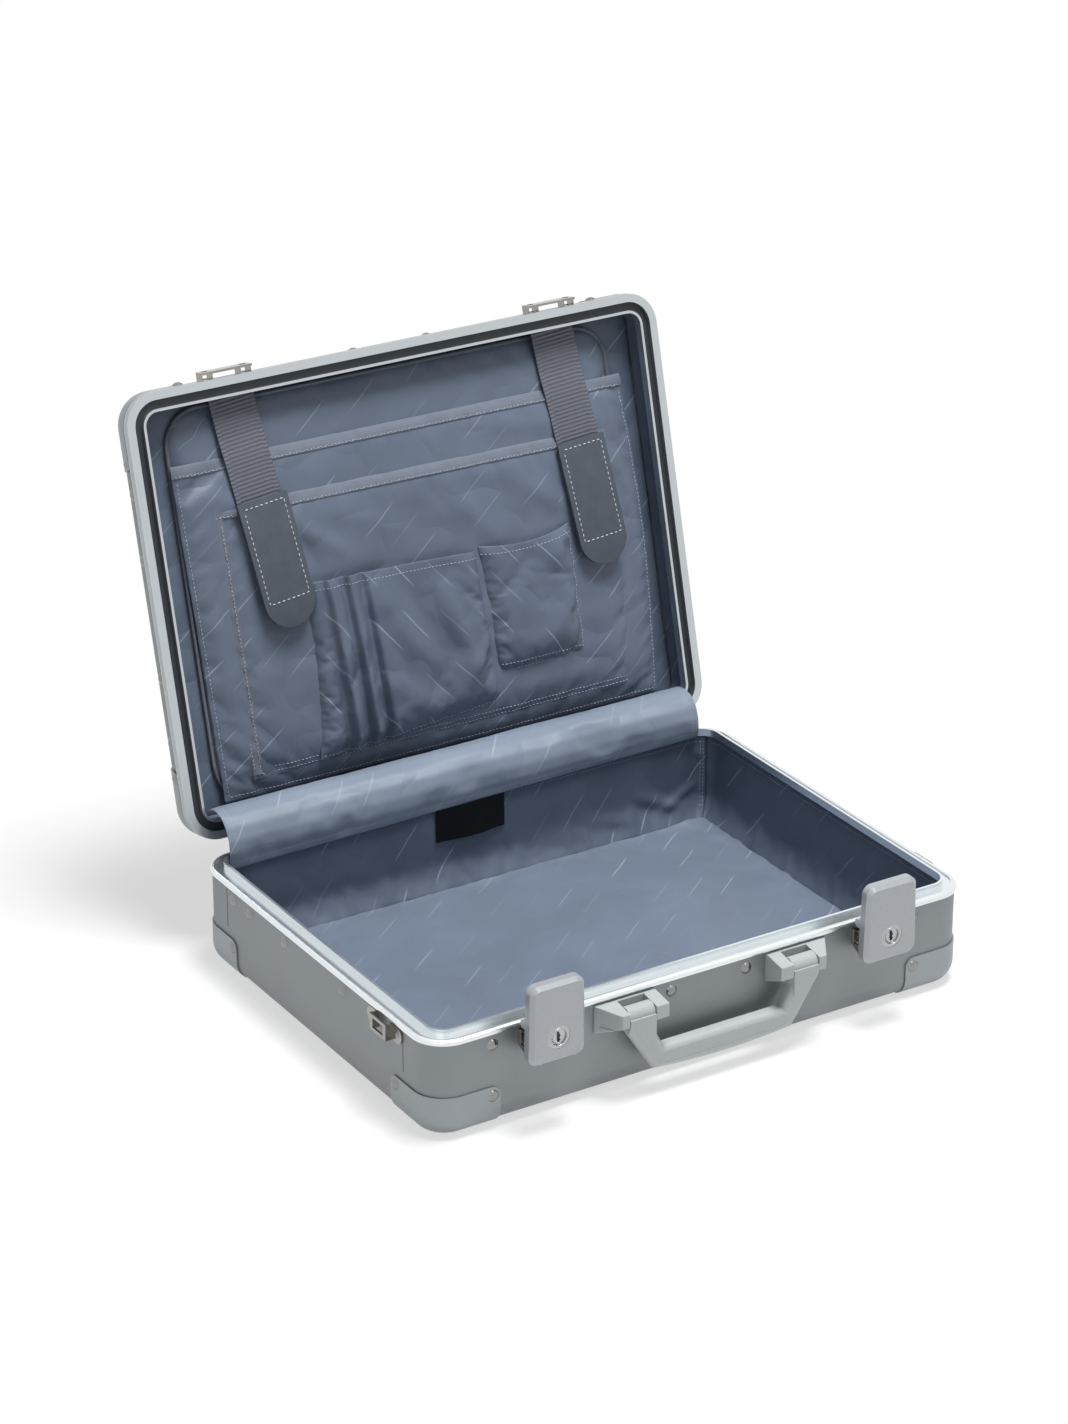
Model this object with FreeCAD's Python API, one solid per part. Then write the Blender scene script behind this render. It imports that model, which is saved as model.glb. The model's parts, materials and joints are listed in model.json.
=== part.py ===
"""Aluminium attache case for a laptop, lid open, as separate named solids.

Case axes: X along the hinge, Y from the handle side (front, negative) to the
hinge side, Z up from the ground. Shapes are made round the middle of the
footprint and moved along Y at the end, so that the open case's box is centred.
The lid is made closed and then turned open about the hinge line.
"""
import FreeCAD, Part
import math
import os

from FreeCAD import Vector

os.makedirs("parts", exist_ok=True)

X = Vector(1, 0, 0)
Y = Vector(0, 1, 0)
Z = Vector(0, 0, 1)

# Footprint, measured inside the base rim's raised lip
inner_w = 430.0
inner_d = 310.0
inner_r = 13.0

# Folded sheet shells
sheet_t = 1.2
wall_out = 10.5
edge_r = 15.0
base_h = 76.5
lid_h = 29.0
seam_gap = 0.8
seam_back = 40.0
seam_front = 38.0

# Corner caps, pressed from the same sheet
cap_t = 1.2
cap_reach = 54.0
cap_h = 32.0
lid_cap_h = 20.0
cap_round = 7.0

# Clearances and cuts
seat = 0.1
soft_gap = 0.3
run_gap = 0.05
shut_gap = 0.3
overrun = 3.0
tiny = 1e-3

# Base rim frame: lip, channel, outer band, flange outside and leg inside the sheet
lip_t = 2.0
lip_h = 3.5
rim_out = 12.2
rim_plate_t = 1.4
channel_drop = 1.0
band_start = 8.0
band_h = 3.6
band_round = 3.0
leg_t = 1.5
leg_h = 18.0

# Lid rim frame: outer lip, gasket channel, inner lip
lid_lip_in = -2.6
lid_lip_t = 2.0
lid_channel_out = 6.0
lid_channel_floor = 6.5
lid_floor_t = 1.5
lid_flange_h = 7.0
lid_plate_t = 2.0
lid_leg_h = 15.0
groove_w = 0.5
groove_steps = 3
gasket_rise = 2.5

# Hinge line and how far the lid opens
hinge_off = 8.4
open_deg = 104.3

# Domed rivets
head_r = 4.5
head_h = 2.2
shank_r = 1.6
tail_r = 2.6
tail_h = 0.8
base_row_drop = 12.5
lid_row_rise = 11.8
cap_rivet_h = 25.0
cap_rivet_in = 48.0
row_x = (177.0, 31.5)
row_y_from_back = (38.8, 63.1, 115.4, 199.0)
lid_row_y_from_back = (63.8, 113.0, 201.1, 249.7)

# Small flat rivets of the fittings
small_head_r = 2.6
small_head_h = 0.9
small_shank_r = 1.2

# Lining
lining_in = 0.7
lining_t = 4.5
floor_pad_t = 3.5
floor_pad_bevel = 3.0
lining_lift = 0.7
label_w = 60.0
label_h = 27.0
label_t = 0.6
label_drop = 5.6
label_x = -2.0
flap_margin = 13.5
hem_t = 1.2
hem_h = 8.8
flap_t = 6.0
flap_len = 13.0
flap_start = 20.9

# Latches: one pair of draw latches with key locks
latch_x = 139.5
cover_w = 46.0
cover_top_w = 42.6
cover_low = -24.5
cover_high = 36.0
cover_out = 25.0
cover_depth = 8.5
cover_wall = 2.0
cover_bevel = 2.8
cover_corner = 7.0
turn_out = 10.5
turn_low = -22.5
turn_r = 1.5
ear_r = 3.5
cover_lug_in = 12.5
cover_lug_t = 2.2
flange_in = 15.0
flange_t = 1.5
flange_out = 9.7
flange_top = -6.0
plate_w = 34.0
housing_plate_t = 1.5
housing_rivet_drop = 12.0
housing_rivet_x = 6.8
striker_out = 15.5
striker_t = 1.5
striker_low = -18.0
striker_high = -15.5
window_low = -17.0
window_high = -7.0
window_in = 3.0
window_out = 7.5
hook_out = 12.3
hook_high = 4.5
hook_pin_r = 1.4
hook_barrel_r = 2.8
hook_half_w = 11.3
hook_t = 1.6
hook_top = 13.5
hook_lip = 3.4
hook_lug_in = 15.2
hook_lug_r = 3.2
spring_wire = 0.7
spring_r = 2.45
spring_pitch = 1.15
spring_turns = 2
spring_samples = 400
lock_low = -6.0
lock_r = 7.4
lock_face = 0.6
lock_rim = 1.2
lock_back = 13.5
lock_dish = 1.2
key_w = 1.6
key_h = 8.0
key_depth = 4.0
cam_t = 1.8
cam_w = 4.0
cam_len = 12.5

# Catches on the lid that the hooks hold
catch_w = 41.0
catch_low = 5.0
catch_high = 15.5
catch_out = 7.0
catch_bar_t = 1.8
catch_foot = 9.5
catch_wall = 1.2

# Handle
handle_x = 1.0
bracket_in = 47.0
bracket_w = 50.0
bracket_out = 20.0
bracket_back_t = 3.0
bracket_top = -5.5
bracket_front_top = -8.5
bracket_front_low = -19.0
bracket_low = -27.5
bracket_edge = 0.8
cheek_tip = 6.0
cheek_foot = 1.5
cheek_margin = 3.0
cheek_recess = 0.9
arm_in = 58.0
arm_w = 21.0
arm_side_gap = 0.5
swing_out = 12.0
swing_low = -14.0
swing_r = 2.5
barrel_r = 7.0
arm_back = 7.0
arm_front = 20.5
arm_straight = -26.0
grip_top = -42.0
grip_low = -58.5
grip_bow = 3.0
grip_in = 50.0
grip_corner = 58.0
grip_round = 5.5
insert_t = 0.9
insert_h = 8.5
screw_r = 1.8
screw_head_r = 3.6
screw_head_h = 1.6
screw_len = 12.0
screw_low = -22.0

# Loops on the side walls for a shoulder strap
loop_y = 61.0
loop_len = 47.0
loop_h = 12.6
loop_low = -17.4
loop_t = 1.4
loop_gap = 5.2
loop_span = 19.0
window_frame = 2.6

# Hinges on the back wall
hinge_x = 138.0
leaf_w = 60.0
leaf_t = 2.4
leaf_low = 32.0
leaf_top = 8.0
lid_leaf_high = 16.5
leaf_rivet_low = 24.0
leaf_end = 14.0
knuckle_r = 4.0
pin_r = 2.0
end_gap = 0.3

# Lid lining and organiser, depths measured in from the closed mating plane
lid_pad_t = 3.5
lid_wall_in = 1.0
lid_wall_t = 4.0
panel_half_w = 190.0
panel_low = 27.0
panel_high = 321.0
panel_r = 28.0
panel_t = 5.2
rear_left = -189.0
rear_right = 196.0
rear_low = 27.5
rear_high = 281.0
rear_t = 4.8
middle_left = -167.0
middle_right = 176.0
middle_low = 40.0
middle_high = 245.0
middle_t = 4.2
pleat_left = -102.0
pleat_right = 46.0
pleat_low = 42.0
pleat_high = 176.0
pleat_t = 5.0
pleat_fold_w = 24.0
pleat_folds = 3
pleat_fold_step = 1.2
flat_left = 47.0
flat_right = 130.0
flat_low = 72.0
flat_high = 172.0
flat_t = 4.2
pocket_crown = 1.2
rear_r = 6.5
middle_r = 3.2
flat_r = 3.2
strap_x = (-134.0, 142.0)
strap_w = 37.0
strap_t = 1.4
strap_lean = 4.5
strap_top = 328.0
strap_end = 250.0
tab_w = 42.0
tab_len = 92.0
tab_t = 3.4
tab_rise = 5.5

# Worked out from the sizes above
half_w = inner_w / 2
half_d = inner_d / 2
flap_w = 2 * (half_w - flap_margin)
wall_x = half_w + wall_out
wall_y = half_d + wall_out
shell_z = cap_t
mate_z = shell_z + base_h
sheet_in = wall_out - sheet_t
hinge_y = wall_y + hinge_off
hinge_point = Vector(0, hinge_y, mate_z)
floor_z = shell_z + sheet_t
sheet_top = mate_z - channel_drop - rim_plate_t
lid_pad_d = lid_h - sheet_t - soft_gap
panel_d = lid_pad_d - lid_pad_t - soft_gap
rear_d = panel_d - panel_t - soft_gap
middle_d = rear_d - rear_t - soft_gap
front_d = middle_d - middle_t - soft_gap


def box(x0, x1, y0, y1, z0, z1):
    """Return a box between two corners."""
    return Part.makeBox(x1 - x0, y1 - y0, z1 - z0, Vector(x0, y0, z0))


def cylinder(centre, axis, radius, length):
    """Return a cylinder whose middle is at centre."""
    start = centre - axis * (length / 2)
    return Part.makeCylinder(radius, length, start, axis)


def along(shape, axis):
    """Return the straight edges of shape that run along axis."""
    found = []
    for edge in shape.Edges:
        if len(edge.Vertexes) != 2:
            continue
        run = edge.Vertexes[1].Point - edge.Vertexes[0].Point
        if edge.Curve.TypeId == "Part::GeomLine" and run.cross(axis).Length < tiny:
            found.append(edge)
    return found


def at_height(shape, z):
    """Return the edges of shape that lie in the plane at height z."""
    return [e for e in shape.Edges if abs(e.BoundBox.ZMin - z) + abs(e.BoundBox.ZMax - z) < tiny]


def rounded_block(half_x, half_y, radius, z0, z1):
    """Return an upright block with rounded upright edges."""
    block = box(-half_x, half_x, -half_y, half_y, z0, z1)
    return block.makeFillet(radius, along(block, Z))


def footprint(grow, z0, z1):
    """Return the case's rounded footprint, grown all round, between two heights."""
    return rounded_block(half_w + grow, half_d + grow, inner_r + grow, z0, z1)


def ring(inner, outer, z0, z1):
    """Return a band that follows the footprint between two growths."""
    return footprint(outer, z0, z1).cut(footprint(inner, z0 - overrun, z1 + overrun))


def tray(grow, z_face, z_open, radius):
    """Return a solid tray body with its face at z_face rounded all round."""
    body = footprint(grow, min(z_face, z_open), max(z_face, z_open))
    return body.makeFillet(radius, at_height(body, z_face))


def prism(points, axis, start, length):
    """Extrude a polygon given as two-value points, along X (Y, Z) or along Y (X, Z)."""
    if axis == X:
        corners = [Vector(start, a, b) for a, b in points]
    else:
        corners = [Vector(a, start, b) for a, b in points]
    face = Part.Face(Part.makePolygon(corners + corners[:1]))
    return face.extrude(axis * length)


def fuse(shapes):
    """Join touching shapes into one clean solid."""
    whole = shapes[0].fuse(shapes[1:]) if len(shapes) > 1 else shapes[0]
    whole = whole.removeSplitter()
    return whole.Solids[0] if len(whole.Solids) == 1 else whole


def cut(shape, tools):
    """Cut tools out of shape and keep it as one solid where it is one."""
    left = shape.cut(tools) if tools else shape
    return left.Solids[0] if len(left.Solids) == 1 else left


def group(shapes):
    """Hold separate solids together in one node."""
    return Part.Compound(shapes)


def mirror(shape):
    """Return shape mirrored from one side of the case to the other."""
    return shape.mirror(Vector(0, 0, 0), X)


def facing(point, normal, shape):
    """Place a shape made along Z so that it stands on point along normal."""
    placed = shape.copy()
    placed.Placement = FreeCAD.Placement(point, FreeCAD.Rotation(Z, normal))
    return placed


def front_place(off, z):
    """Return Y and Z of a place given as distance off the front wall and from the mating plane."""
    return (-wall_y - off, mate_z + z)


def front_points(points):
    """Turn places off the front wall into Y and Z points."""
    return [front_place(off, z) for off, z in points]


def corner_signs():
    """Return the four corners as signs of X and Y."""
    return [(sx, sy) for sx in (-1, 1) for sy in (-1, 1)]


# Rivets

def rivet_solid(grip, dome_r, dome_h, body_r, foot_r, foot_h):
    """Return a rivet along Z: head above zero, shank through the grip, foot below."""
    mid = dome_r * math.sqrt(0.5)
    ball_r = (dome_r ** 2 + dome_h ** 2) / (2 * dome_h)
    lift = math.sqrt(ball_r ** 2 - mid ** 2) - (ball_r - dome_h)
    dome = Part.Arc(Vector(0, 0, dome_h), Vector(mid, 0, lift), Vector(dome_r, 0, 0)).toShape()
    path = [(dome_r, 0), (body_r, 0), (body_r, -grip), (foot_r, -grip), (foot_r, -grip - foot_h),
            (0, -grip - foot_h), (0, dome_h)]
    rest = Part.makePolygon([Vector(a, 0, b) for a, b in path])
    face = Part.Face(Part.Wire([dome] + rest.Edges))
    return face.revolve(Vector(0, 0, 0), Z, 360)


def rivet(place, normal, grip):
    """Return a domed case rivet standing on place."""
    return facing(place, normal, rivet_solid(grip, head_r, head_h, shank_r, tail_r, tail_h))


def small_rivet(place, normal, grip):
    """Return a flat fitting rivet standing on place."""
    solid = rivet_solid(grip, small_head_r, small_head_h, small_shank_r, small_head_r, small_head_h)
    return facing(place, normal, solid)


def rivet_hole(place, normal, radius):
    """Return the drill for a rivet that stands on place."""
    return cylinder(place, normal, radius + run_gap, 2 * (leg_t + sheet_t + cap_t + overrun))


def rim_grip():
    """Return the stack that a rim rivet goes through."""
    return sheet_t + seat + leg_t


def cap_grip():
    """Return the stack that a cap rivet goes through."""
    return cap_t + sheet_t


def base_rim_places():
    """Return place and normal of each rivet that holds the base frame."""
    z = mate_z - base_row_drop
    places = []
    for side in (-1, 1):
        for x in row_x:
            places.append((Vector(side * x, -wall_y, z), -Y))
            places.append((Vector(side * x, wall_y, z), Y))
        for y in row_y_from_back:
            places.append((Vector(side * wall_x, half_d - y, z), X * side))
    return places


def lid_rim_places():
    """Return place and normal of each rivet that holds the lid frame."""
    z = mate_z + lid_row_rise
    places = []
    for side in (-1, 1):
        places.append((Vector(side * row_x[1], -wall_y, z), -Y))
        places.append((Vector(side * row_x[1], wall_y, z), Y))
        for y in lid_row_y_from_back:
            places.append((Vector(side * wall_x, half_d - y, z), X * side))
    return places


def cap_places(z):
    """Return place and normal of the two rivets of each corner cap."""
    places = []
    for sx, sy in corner_signs():
        x = sx * (wall_x - cap_rivet_in)
        y = sy * (wall_y - cap_rivet_in)
        places.append((Vector(x, sy * (wall_y + cap_t), z), Y * sy))
        places.append((Vector(sx * (wall_x + cap_t), y, z), X * sx))
    return places


base_cap_places = cap_places(shell_z + cap_rivet_h)
lid_cap_places = cap_places(mate_z + lid_row_rise)


# Fitting places

def latch_centres():
    """Return X of the two latches."""
    return (-latch_x, latch_x)


def screw_xs():
    """Return X of the handle screws, two to a bracket."""
    inner = (bracket_in + arm_in - arm_side_gap) / 2
    outer = (arm_in + arm_w + arm_side_gap + bracket_in + bracket_w) / 2
    return [handle_x + side * x for side in (-1, 1) for x in (inner, outer)]


def housing_rivet_places():
    """Return the rivet places of the latch housings."""
    y, z = front_place(housing_plate_t, -housing_rivet_drop)
    return [Vector(x + side * housing_rivet_x, y, z) for x in latch_centres() for side in (-1, 1)]


def loop_rivet_places():
    """Return place and side of each strap loop rivet."""
    z = mate_z + loop_low + loop_h / 2
    reach = (loop_len + loop_span) / 4 + loop_t / 2
    middle = -wall_y + loop_y
    return [(Vector(side * (wall_x + loop_t), middle + end * reach, z), side)
            for side in (-1, 1) for end in (-1, 1)]


def leaf_rivet_places(rise):
    """Return the rivet places of the hinge leaves below (-1) or above (1) the mating plane."""
    z = mate_z + (leaf_top + lid_leaf_high) / 2 if rise > 0 else mate_z - leaf_rivet_low
    reach = (leaf_w - leaf_end) / 2
    return [Vector(side * hinge_x + end * reach, wall_y + leaf_t, z)
            for side in (-1, 1) for end in (-1, 1)]


def catch_rivet_places():
    """Return the rivet places of the lid catches."""
    z = mate_z + (lid_flange_h + end_gap + catch_high) / 2
    y = -wall_y - catch_wall
    return [Vector(x + side * (catch_w - catch_foot) / 2, y, z)
            for x in latch_centres() for side in (-1, 1)]


# Sheet shells, frames and caps

def base_shell():
    """Return the folded base sheet with its side seams and holes."""
    outer = tray(wall_out, shell_z, sheet_top, edge_r)
    inner = tray(sheet_in, floor_z, sheet_top + overrun, edge_r - sheet_t)
    tools = [inner]
    low = shell_z + cap_h + cap_round
    for side in (-1, 1):
        for y in (wall_y - seam_back, -wall_y + seam_front):
            middle = side * (wall_x - sheet_t / 2)
            reach = sheet_t / 2 + overrun
            tools.append(box(middle - reach, middle + reach, y - seam_gap / 2, y + seam_gap / 2,
                             low, sheet_top - band_h))
    tools += [rivet_hole(p, n, shank_r) for p, n in base_rim_places() + base_cap_places]
    tools += [rivet_hole(p, -Y, small_shank_r) for p in housing_rivet_places()]
    tools += [rivet_hole(p, X * s, small_shank_r) for p, s in loop_rivet_places()]
    tools += [rivet_hole(p, Y, small_shank_r) for p in leaf_rivet_places(-1)]
    tools += [rivet_hole(Vector(x, -wall_y, mate_z + screw_low), -Y, screw_r) for x in screw_xs()]
    return cut(outer, tools)


def lid_shell():
    """Return the folded lid sheet, closed, with its holes."""
    outer = tray(wall_out, mate_z + lid_h, mate_z + shut_gap + lid_plate_t, edge_r)
    inner = tray(sheet_in, mate_z + lid_h - sheet_t, mate_z - overrun, edge_r - sheet_t)
    tools = [inner]
    tools += [rivet_hole(p, n, shank_r) for p, n in lid_rim_places() + lid_cap_places]
    tools += [rivet_hole(p, Y, small_shank_r) for p in leaf_rivet_places(1)]
    tools += [rivet_hole(p, -Y, small_shank_r) for p in catch_rivet_places()]
    return cut(outer, tools)


def base_frame():
    """Return the base's rim extrusion bent round the footprint."""
    plate_low = sheet_top
    channel_z = mate_z - channel_drop
    body = fuse([
        ring(0, rim_out, plate_low, channel_z),
        ring(0, lip_t, plate_low, mate_z + lip_h),
        ring(band_start, rim_out, plate_low, mate_z),
        ring(wall_out + seat, rim_out, mate_z - band_h, mate_z),
        ring(sheet_in - seat - leg_t, sheet_in - seat, mate_z - leg_h, channel_z),
    ])
    edges = [e for e in at_height(body, mate_z) if on_outline(e, rim_out)]
    body = body.makeFillet(band_round, edges)
    tools = [rivet_hole(p, n, shank_r) for p, n in base_rim_places()]
    tools += [rivet_hole(p, X * s, small_shank_r) for p, s in loop_rivet_places()]
    tools += [rivet_hole(p, -Y, small_shank_r) for p in housing_rivet_places()]
    return cut(body, tools)


def on_outline(edge, grow):
    """Tell whether an edge lies on the footprint grown by grow."""
    middle = edge.valueAt((edge.FirstParameter + edge.LastParameter) / 2)
    x = abs(middle.x) - (half_w - inner_r)
    y = abs(middle.y) - (half_d - inner_r)
    reach = math.hypot(x, y) if x > 0 and y > 0 else max(x, y)
    return abs(reach - inner_r - grow) < tiny


def lid_frame():
    """Return the lid's rim extrusion with its gasket channel, closed."""
    low = mate_z + shut_gap
    floor = mate_z + lid_channel_floor
    leg_out = sheet_in - seat
    body = fuse([
        ring(lid_channel_out, rim_out, low, low + lid_plate_t),
        ring(wall_out + seat, rim_out, low, mate_z + lid_flange_h),
        ring(lid_channel_out, leg_out, low, floor + lid_floor_t),
        ring(leg_out - leg_t, leg_out, low, mate_z + lid_leg_h),
        ring(lid_lip_in, leg_out, floor, floor + lid_floor_t),
        ring(lid_lip_in, lid_lip_in + lid_lip_t, low, floor + lid_floor_t),
    ])
    tools = []
    for step in range(groove_steps):
        z = low + (step + 1) * (lid_flange_h - shut_gap) / (groove_steps + 1)
        tools.append(ring(rim_out - groove_w, rim_out + overrun, z - groove_w / 2, z + groove_w / 2))
    tools += [rivet_hole(p, n, shank_r) for p, n in lid_rim_places() + lid_cap_places]
    tools += [rivet_hole(p, -Y, small_shank_r) for p in catch_rivet_places()]
    tools += [rivet_hole(p, Y, small_shank_r) for p in leaf_rivet_places(1)]
    return cut(body, tools)


def lid_gasket():
    """Return the rubber ring in the lid frame's channel, closed."""
    floor = mate_z + lid_channel_floor
    inner = lid_lip_in + lid_lip_t + seat
    return ring(inner, lid_channel_out - seat, floor - gasket_rise, floor - seat / 2)


def cap_limits(z_face, z_end):
    """Return the body that limits the caps to the corners, rounded at the inner corner."""
    far = wall_x + cap_t + overrun
    low, high = min(z_face, z_end), max(z_face, z_end)
    start_x = wall_x - cap_reach
    start_y = wall_y - cap_reach
    over_x = box(start_x, far, -far, far, low, high)
    over_y = box(-far, far, start_y, far, low, high)
    inner_x = [e for e in along(over_x, Y) if near(e, start_x, None, z_end)]
    inner_y = [e for e in along(over_y, X) if near(e, None, start_y, z_end)]
    return over_x.makeFillet(cap_round, inner_x).common(over_y.makeFillet(cap_round, inner_y))


def near(edge, x, y, z):
    """Tell whether an edge's middle has the given places, leaving out any that is None."""
    middle = edge.CenterOfMass
    pairs = [(middle.x, x), (middle.y, y), (middle.z, z)]
    return all(abs(a - b) < tiny for a, b in pairs if b is not None)


def caps(z_face, z_inner, z_end, out, open_z, places):
    """Return four corner caps over the rounded edge at z_face."""
    skin = tray(wall_out + cap_t, out, open_z, edge_r + cap_t)
    core = tray(wall_out + seat, z_inner, open_z + (open_z - out), edge_r + seat)
    shell = skin.cut(core)
    one = shell.common(cap_limits(out, z_end)).Solids[0]
    along_x = one.mirror(Vector(0, 0, 0), X)
    along_y = one.mirror(Vector(0, 0, 0), Y)
    both = along_x.mirror(Vector(0, 0, 0), Y)
    holes = [rivet_hole(p, n, shank_r) for p, n in places]
    return group([cut(cap, holes) for cap in (one, along_x, along_y, both)])


def base_caps():
    """Return the base's corner caps, which are also its feet."""
    return caps(shell_z, shell_z - seat, shell_z + cap_h, 0, mate_z, base_cap_places)


def lid_caps():
    """Return the lid's corner caps, closed."""
    face = mate_z + lid_h
    end = face - lid_cap_h
    return caps(face, face + seat, end, face + cap_t, mate_z, lid_cap_places)


def base_rivets():
    """Return the domed rivets of the base frame and caps."""
    rim = [rivet(p, n, rim_grip()) for p, n in base_rim_places()]
    return group(rim + [rivet(p, n, cap_grip()) for p, n in base_cap_places])


def lid_rivets():
    """Return the domed rivets of the lid frame and caps, closed."""
    rim = [rivet(p, n, rim_grip()) for p, n in lid_rim_places()]
    return group(rim + [rivet(p, n, cap_t + rim_grip()) for p, n in lid_cap_places])


def base_small_rivets():
    """Return the fitting rivets of the base."""
    found = [small_rivet(p, -Y, housing_plate_t + rim_grip()) for p in housing_rivet_places()]
    for p, side in loop_rivet_places():
        found.append(small_rivet(p, X * side, loop_t + rim_grip()))
    for p in leaf_rivet_places(-1):
        found.append(small_rivet(p, Y, leaf_t + sheet_t))
    return group(found)


def lid_small_rivets():
    """Return the fitting rivets of the lid, closed."""
    found = [small_rivet(p, -Y, catch_wall + rim_grip()) for p in catch_rivet_places()]
    found += [small_rivet(p, Y, leaf_t + rim_grip()) for p in leaf_rivet_places(1)]
    return group(found)


# Lining of the base

def lining_ring():
    """Return the base lining as one ring before it is parted at the corners."""
    low = floor_z + soft_gap + floor_pad_t + lining_lift
    return ring(lining_in, lining_in + lining_t, low, sheet_top - soft_gap)


def lining_quarter(axis, side):
    """Return the wedge of the footprint that belongs to one wall's lining."""
    reach = half_w + wall_out
    slope = half_w - half_d
    gap = soft_gap / math.sqrt(2)
    if axis == X:
        points = [(side * (slope + gap), 0), (side * (slope + gap + reach), reach),
                  (side * (slope + gap + reach), -reach)]
    else:
        far = half_d + reach
        points = [(-slope + gap, 0), (slope - gap, 0), (slope - gap + far, side * far),
                  (-slope + gap - far, side * far)]
    corners = [Vector(x, y, 0) for x, y in points]
    return Part.Face(Part.makePolygon(corners + corners[:1])).extrude(Z * mate_z)


def base_lining(axis, side):
    """Return one padded lining wall of the base."""
    return lining_ring().common(lining_quarter(axis, side)).Solids[0]


def floor_pad():
    """Return the padded floor of the base."""
    low = floor_z + soft_gap
    pad = footprint(lining_in - soft_gap, low, low + floor_pad_t)
    return pad.makeChamfer(floor_pad_bevel, at_height(pad, low))


def lining_label():
    """Return the plain woven label on the back lining."""
    y = half_d + lining_in - soft_gap
    high = mate_z - label_drop
    return box(label_x - label_w / 2, label_x + label_w / 2, y - label_t, y, high - label_h, high)


def flap_hem():
    """Return the part of the hinge flap that hangs on the base's back lining."""
    y = half_d - soft_gap
    high = mate_z - shut_gap - soft_gap
    return box(-flap_w / 2, flap_w / 2, y - hem_t, y, high - hem_h, high)


# Latches, made at X = 0 and then moved

def latch_housing():
    """Return the riveted housing with its two flanges and the striker bar."""
    half = plate_w / 2
    plate_y, low = front_place(0, turn_low + ear_r + turn_r)
    plate = box(-half, half, plate_y - housing_plate_t, plate_y, low, mate_z + flange_top)
    outline = front_points([(0, flange_top), (flange_out, flange_top), (flange_out, striker_high),
                            (striker_out, striker_high), (striker_out, striker_low),
                            (turn_out + ear_r, turn_low), (turn_out, turn_low - ear_r),
                            (turn_out - ear_r, turn_low), (0, turn_low + ear_r)])
    window = front_points([(window_in, window_low), (window_out, window_low),
                           (window_out, window_high), (window_in, window_high)])
    turn = Vector(0, *front_place(turn_out, turn_low))
    flanges = []
    for start in (-flange_in - flange_t, flange_in):
        flange = prism(outline, X, start, flange_t)
        flanges.append(flange.cut(prism(window, X, start - overrun, flange_t + 2 * overrun)))
    bar_y, bar_z = front_place(striker_out, striker_low)
    bar = box(-flange_in, flange_in, bar_y, bar_y + striker_t, bar_z, mate_z + striker_high)
    holes = [cylinder(turn, X, turn_r, 2 * half + overrun)]
    holes += [rivet_hole(p - X * latch_x, -Y, small_shank_r)
              for p in housing_rivet_places() if p.x > 0]
    return cut(fuse([plate, bar] + flanges), holes)


def turn_pin():
    """Return the latch cover's pivot pin."""
    turn = Vector(0, *front_place(turn_out, turn_low))
    return cylinder(turn, X, turn_r, 2 * (flange_in + flange_t))


def cover_blank(shrink):
    """Return the tapered cover outline as a solid, drawn in by shrink."""
    low = mate_z + cover_low + shrink
    high = mate_z + cover_high - shrink
    bottom = cover_w / 2 - shrink
    top = cover_top_w / 2 - shrink
    front = -wall_y - cover_out + shrink
    points = [(-bottom, low), (bottom, low), (top, high), (-top, high)]
    blank = prism(points, Y, front, cover_depth)
    blank = blank.makeFillet(cover_corner - shrink, along(blank, Y))
    return blank, front


def latch_cover():
    """Return the bevelled cover with the lugs of both its pins."""
    blank, front = cover_blank(0)
    rim = [e for e in blank.Edges
           if abs(e.BoundBox.YMin - front) + abs(e.BoundBox.YMax - front) < tiny]
    blank = blank.makeChamfer(cover_bevel, rim)
    hollow, _ = cover_blank(cover_wall)
    shell = blank.cut(hollow.translated(Y * seat))
    turn = Vector(0, *front_place(turn_out, turn_low))
    hook = Vector(0, *front_place(hook_out, hook_high))
    lugs = []
    for start in (cover_lug_in, -cover_lug_in - cover_lug_t):
        middle = X * (start + cover_lug_t / 2)
        arm = box(start, start + cover_lug_t, front + cover_wall, turn.y,
                  turn.z - cover_wall, turn.z + ear_r)
        lugs += [arm, cylinder(turn + middle, X, ear_r, cover_lug_t)]
    hook_lug_t = cover_wall_in(hook_high) + cover_wall / 2 - hook_lug_in
    for start in (hook_lug_in, -hook_lug_in - hook_lug_t):
        middle = X * (start + hook_lug_t / 2)
        arm = box(start, start + hook_lug_t, front + cover_wall, hook.y,
                  hook.z - hook_lug_r, hook.z + hook_lug_r)
        lugs += [arm, cylinder(hook + middle, X, hook_lug_r, hook_lug_t)]
    lock = Vector(0, front, mate_z + lock_low)
    holes = [cylinder(turn, X, turn_r + run_gap, cover_w),
             cylinder(hook, X, hook_pin_r, 2 * cover_wall_in(hook_high)),
             cylinder(lock, Y, lock_r + run_gap, 2 * cover_depth),
             cylinder(lock, Y, lock_r + lock_rim, 2 * lock_face)]
    return cut(fuse([shell] + lugs), holes)


def cover_wall_in(z):
    """Return how far from the middle the cover's side wall begins at height z."""
    share = (z - cover_low) / (cover_high - cover_low)
    return cover_w / 2 - share * (cover_w - cover_top_w) / 2 - cover_wall


def hook_pin():
    """Return the pin that carries the hook and its spring."""
    hook = Vector(0, *front_place(hook_out, hook_high))
    reach = cover_wall_in(hook_high) - run_gap
    return cylinder(hook, X, hook_pin_r, 2 * reach)


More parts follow.
